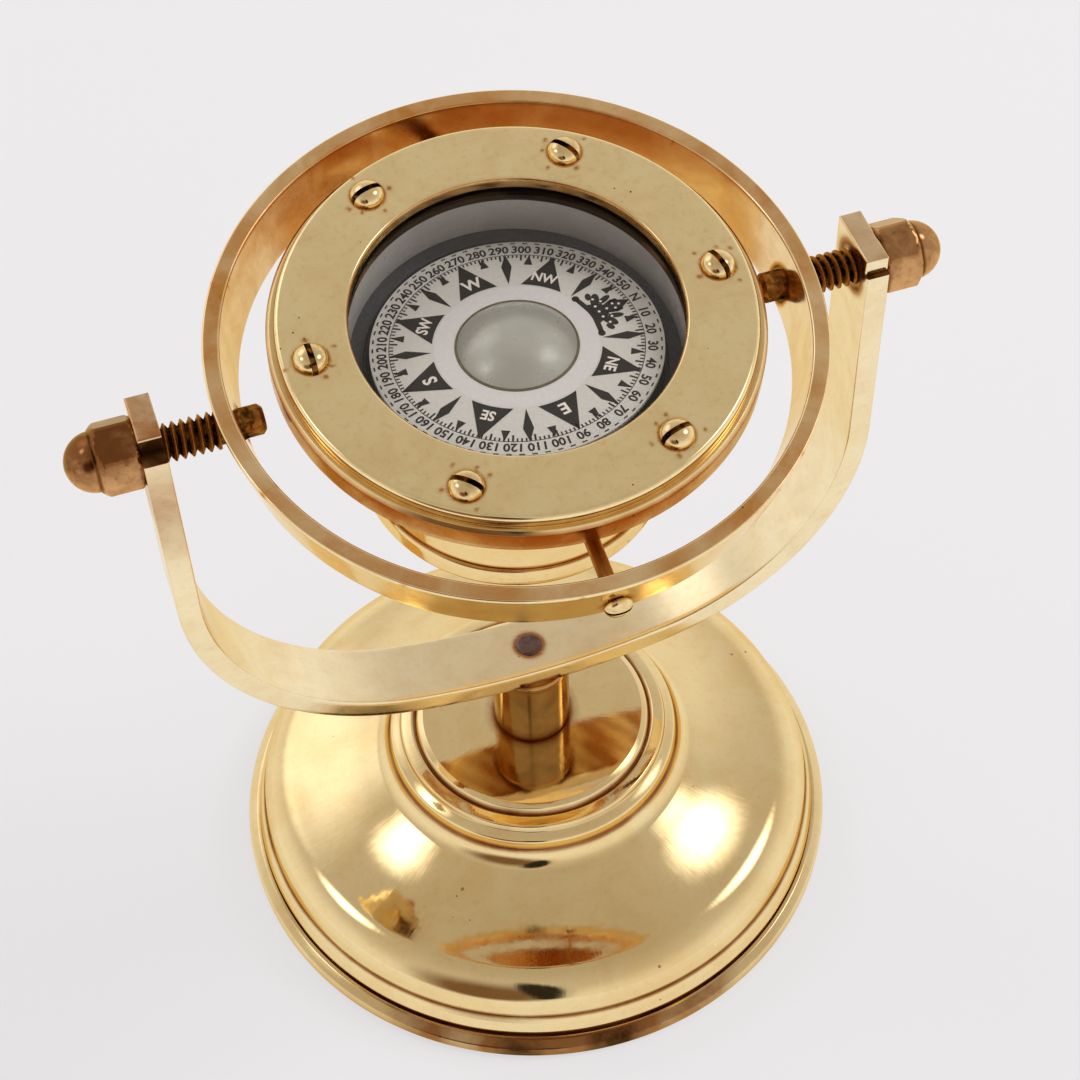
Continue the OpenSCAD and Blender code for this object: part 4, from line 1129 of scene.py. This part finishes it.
# %% Rubber channel, glass, liner and card ring
SEAL_IN, GLASS_R, GLASS_LOW, GLASS_TOP = 26.9, 29.9, 6.5, 8.5
LINER_R, LINER_IN, LINER_LOW, GUARD_IN = 28.18, 27.03, -2.6, 24.6
channel = [[SEAL_IN, GROOVE_LOW], [GROOVE_R, GROOVE_LOW], [GROOVE_R, FLANGE_TOP], [SEAL_IN, FLANGE_TOP],
           [SEAL_IN, GLASS_TOP], [GLASS_R, GLASS_TOP], [GLASS_R, GLASS_LOW], [SEAL_IN, GLASS_LOW]]
pane_line = rounded([(0, GLASS_LOW, 0), (GLASS_R, GLASS_LOW, 0.2), (GLASS_R, GLASS_TOP, 0.2),
                     (0, GLASS_TOP, 0)])
liner_line = rounded([(27.6, GROOVE_LOW, 0), (LINER_R, GROOVE_LOW, 0), (LINER_R, LINER_LOW, 0),
                      (LINER_IN, LINER_LOW, 0.1), (LINER_IN, GROOVE_LOW, 0.3), (27.6, GROOVE_LOW, 0)])[:-1]
guard_line = rounded([(26.5, LINER_LOW, 0), (LINER_R, LINER_LOW, 0), (LINER_R, CHAMBER_LOW, 0),
                      (GUARD_IN, CHAMBER_LOW, 0.2), (GUARD_IN, LINER_LOW, 0.3), (26.5, LINER_LOW, 0)])[:-1]
# The channel's black inner wall stands partly for painted shade under the bezel's edge.
bowl_ring("glass_channel", channel, 300, gasket_rubber, "glass_gasket", closed=True)
bowl_ring("window_pane", pane_line, 240, window_glass, "glass")
bowl_ring("liner_wall", finer(liner_line, 1.0), 300, white_enamel, "liner", closed=True)
# The card ring's dark grey stands partly for painted shade in the gap round the card.
bowl_ring("card_guard", guard_line, 300, grey_enamel_and_shade, "card_ring", closed=True)
print("window", 2 * GLASS_R, "mm across")

# %% [markdown]
# ## Card
#
# The card is a flat disc on a float, printed in black. Its face is drawn in its own frame, with
# north along X and the bearings going clockwise. Each printed shape is a thin face that lies
# a few hundredths of a millimetre above the card, as a thick ink does, so it needs no image.

# %% Disc and float
CARD_R, CARD_Z, CARD_LOW, CARD_HOLE, INK = 23.6, 2.2, 1.5, 8.82, 0.03
FLOAT_R, FLOAT_RISE, TUBE_R = 9.8, 3.4, 3.4
disc_line = rounded([(16.0, CARD_Z, 0), (CARD_R, CARD_Z, 0.1), (CARD_R, CARD_LOW, 0.1),
                     (CARD_HOLE, CARD_LOW, 0), (CARD_HOLE, CARD_Z, 0)])
finish(turned("card_disc", disc_line, 300, closed=True, place=on_card), card_stock, "card", "compass_card")
# The float's top is part of a ball, whose radius follows from its width and its rise.
ball_r = (FLOAT_R ** 2 + FLOAT_RISE ** 2) / (2 * FLOAT_RISE)
ball_z = CARD_Z + FLOAT_RISE - ball_r
lift = np.linspace(math.asin((CARD_Z - ball_z) / ball_r), math.pi / 2, 40)
float_top = np.stack([ball_r * np.cos(lift), ball_z + ball_r * np.sin(lift)], 1)
float_top[-1, 0] = 0.0
float_line = np.concatenate([[[TUBE_R, -0.8], [8.8, -0.8], [8.8, CARD_Z]], float_top,
                             [[0, 4.8], [1.32, 4.8], [1.32, 3.4], [TUBE_R, 3.4], [TUBE_R, -0.8]]])
finish(turned("float_chamber", float_line, 200, place=on_card), float_pearl, "card", "float_dome")
print("card", 2 * CARD_R, "mm across, float", 2 * FLOAT_R, "mm across")

# %% Printed shapes


def printed(name, xy, tris, height, material):
    """Flat triangles that lie on the card, at a height over the ink's lowest layer. Each is turned
    so that it looks up: twice its area in plan, (b - a) x (c - a), has to be positive."""
    a, b, c = xy[tris[:, 0]], xy[tris[:, 1]], xy[tris[:, 2]]
    area = (b[:, 0] - a[:, 0]) * (c[:, 1] - a[:, 1]) - (b[:, 1] - a[:, 1]) * (c[:, 0] - a[:, 0])
    tris = np.where((area < 0)[:, None], tris[:, ::-1], tris)
    flat = np.concatenate([xy, np.full((len(xy), 1), CARD_Z + INK + height)], 1)
    mesh = bpy.data.meshes.new(name)
    mesh.from_pydata((on_card(flat) * MM).tolist(), [], tris[np.abs(area) > 1e-9].tolist())
    mesh.update()
    return finish(in_scene(name, mesh), material, "card", slot="card")


def filled(name, outlines, height, material):
    """One printed piece from closed outlines, each an array of (x, y) in the card's frame. Every
    outline is a fan about its own mean point, so it must be seen whole from there."""
    points, tris, start = [], [], 0
    for line in outlines:
        n = len(line)
        k = np.arange(n)
        points.append(np.concatenate([line, line.mean(0)[None]]))
        tris.append(np.stack([start + k, start + (k + 1) % n, np.full(n, start + n)], 1))
        start += n + 1
    return printed(name, np.concatenate(points), np.concatenate(tris), height, material)


def polar(radius, bearing):
    """(radius, bearing clockwise from north in degrees) to (x, y), with north along X."""
    t = -np.radians(bearing)
    return np.stack([radius * np.cos(t), radius * np.sin(t)], -1)


def sector(r0, r1, b0, b1, steps=5):
    """A piece of a ring between two radii and two bearings."""
    b = np.linspace(b0, b1, steps)
    return np.concatenate([polar(np.full(steps, r0), b), polar(np.full(steps, r1), b[::-1])])


# %% Scale and points of the rose
marks = []
# a line at every second degree, longer and wider at each tenth
for k in range(0, 360, 2):
    reach, wide = (1.25, 0.48) if k % 10 == 0 else (0.6, 0.38)
    marks.append(sector(20.35 - reach, 20.35, k - wide, k + wide, 2))
# the dashes at the edge, and the circle between the scale and the figures
for k in range(0, 360, 5):
    marks.append(sector(22.95, 23.2, k + 0.25, k + 2.35, 3))
    marks.append(sector(20.38, 20.5, k, k + 5, 4))
# lozenges at the half winds, and a small point between each two of the sixteen winds
for k in range(16):
    bearing = 22.5 * k
    if k % 2:
        marks.append(polar(np.array([13.7, 17.8, 20.6, 17.8]), bearing + np.array([0, -2.8, 0, 2.8])))
    marks.append(polar(np.array([18.2, 20.4, 18.2]), bearing + 11.25 + np.array([-2.3, 0, 2.3])))
# the large points that carry the letters, at all the eight winds but north
for k in range(1, 8):
    b = np.linspace(45 * k - 14.5, 45 * k + 14.5, 13)
    marks.append(np.concatenate([polar(np.full(13, 13.6), b), [polar(20.6, 45 * k)]]))
print("black marks:", len(marks))

# %% North point: a lily on a curved band


def blob(cx, cy, rx, ry, turn=0.0, steps=20):
    """An ellipse with radii rx and ry about (cx, cy), turned by an angle."""
    a = np.linspace(0, 2 * math.pi, steps, endpoint=False)
    x, y = rx * np.cos(a), ry * np.sin(a)
    c, s = math.cos(turn), math.sin(turn)
    return np.stack([cx + c * x - s * y, cy + s * x + c * y], 1)


marks.append(sector(13.35, 14.15, -18, 18, 15))
for side in (-1, 1):
    marks.append(blob(*polar(13.75, 18.5 * side), 0.62, 0.62))
    for cx, cy, rx, ry, turn in ((15.6, 2.55, 1.5, 0.75, 1.05), (17.0, 2.0, 1.25, 0.55, 0.35),
                                 (15.0, 3.75, 0.8, 0.5, 1.2), (17.9, 0.95, 0.95, 0.4, 0.25)):
        marks.append(blob(cx, cy * side, rx, ry, side * turn))
marks.append(np.array([[14.0, -2.3], [14.0, 2.3], [16.2, 1.3], [16.2, -1.3]]))
marks.append(np.array([[16.0, -0.9], [17.8, -1.5], [20.6, 0.0], [17.8, 1.5], [16.0, 0.9]]))
filled("card_print_black", marks, 0.0, print_black)
DOTS = ((15.0, 0.0), (15.0, 1.3), (15.0, -1.3), (16.4, 0.0), (16.3, 1.9), (16.3, -1.9), (17.7, 0.55),
        (17.7, -0.55), (18.6, 0.0), (15.4, 2.9), (15.4, -2.9))
filled("card_print_dots", [blob(x, y, 0.24, 0.24, steps=10) for x, y in DOTS], 0.02, print_white)
print("shapes in black:", len(marks), "dots in white:", len(DOTS))

# %% Card centre and the painted shade round the float
# The centre of the card is a smooth paler disc inside the ring of points.
centre_ring = [sector(9.75, 13.3, x, x + 3.75, 3) for x in np.linspace(0, 360, 96, endpoint=False)]
filled("card_centre_disc", centre_ring, -0.015, card_centre)
# A thin dark line of painted shade runs round the foot of the float.
float_foot_shade_line = rounded([(9.6, 2.21, 0), (10.0, 2.21, 0), (9.98, 2.36, 0.05), (9.6, 2.42, 0)])
finish(turned("float_foot_shade_ring", float_foot_shade_line, 160, closed=True, place=on_card), float_foot_shade, "card", slot="float")
print("centre and seam made")

# %% Letters and numbers


def lettering(name, items, height, material):
    """Text laid on the card. items are (text, radius, bearing, size in mm, stretch); each is
    filled by Blender's own font, turned so that its top points outwards, and put in place:
    a point (u, v) of the text goes to (radius + v) outwards and u clockwise."""
    points, tris, start = [], [], 0
    for text, radius, bearing, size, stretch in items:
        curve = bpy.data.curves.new("text", "FONT")
        curve.body = text
        curve.align_x, curve.align_y = "CENTER", "CENTER"
        curve.resolution_u = 3
        curve.offset = 0.028
        thing = in_scene("text", curve)
        mesh = bpy.data.meshes.new_from_object(thing.evaluated_get(bpy.context.evaluated_depsgraph_get()))
        mesh.calc_loop_triangles()
        uv = np.empty(len(mesh.vertices) * 3)
        mesh.vertices.foreach_get("co", uv)
        uv = uv.reshape(-1, 3)[:, :2]
        uv = (uv - (uv.max(0) + uv.min(0)) / 2) * size / 0.7
        tri = np.empty(len(mesh.loop_triangles) * 3, dtype=np.int32)
        mesh.loop_triangles.foreach_get("vertices", tri)
        outward, clockwise = polar(1.0, bearing), polar(1.0, bearing + 90)
        points.append((radius + uv[:, 1:2]) * outward + uv[:, :1] * stretch * clockwise)
        tris.append(tri.reshape(-1, 3) + start)
        start += len(uv)
        bpy.data.objects.remove(thing)
        bpy.data.curves.remove(curve)
        bpy.data.meshes.remove(mesh)
    return printed(name, np.concatenate(points), np.concatenate(tris), height, material)


words = [(text, 15.6, 45 * (k + 1), *((2.2, 0.98) if len(text) == 1 else (1.9, 0.86)))
         for k, text in enumerate(["NE", "E", "SE", "S", "SW", "W", "NW"])]
lettering("card_letters", words, 0.02, print_white)
figures = [(str(10 * k), 21.65, 10 * k, 1.55, 1.0) for k in range(1, 36)] + [("N", 21.65, 0, 1.55, 0.95)]
lettering("card_numbers", figures, 0.0, print_black)
print("letters:", len(words), "figures:", len(figures))

# %% [markdown]
# ## Pieces that keep their solid shape
#
# The weight, the nut, the magnets and the other inner parts are never polished, so the packed
# solids serve as they are. Each only gets the finish of what it is made from.

# %% Finishes of the remaining solids
for node, material in (("base_weight", cast_iron), ("base_plate", raw_brass), ("felt_pad", wool_felt),
                       ("rod_washer", turned_steel), ("rod_nut", turned_steel), ("diaphragm", bronze_sheet),
                       ("counterweight", soft_lead), ("pivot_post", raw_brass), ("pivot_pin", turned_steel),
                       ("float_floor", float_pearl), ("magnets", magnet_steel), ("jewel_cup", ruby)):
    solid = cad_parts[node]
    solid.data.materials.clear()
    solid.data.materials.append(material)
print("materials in use:", sum(1 for material in bpy.data.materials if material.users))

# %% [markdown]
# ## Last step
#
# The colours are shown as they are, with the standard view.

# %% View settings and the end
bpy.context.scene.view_settings.view_transform = "Standard"
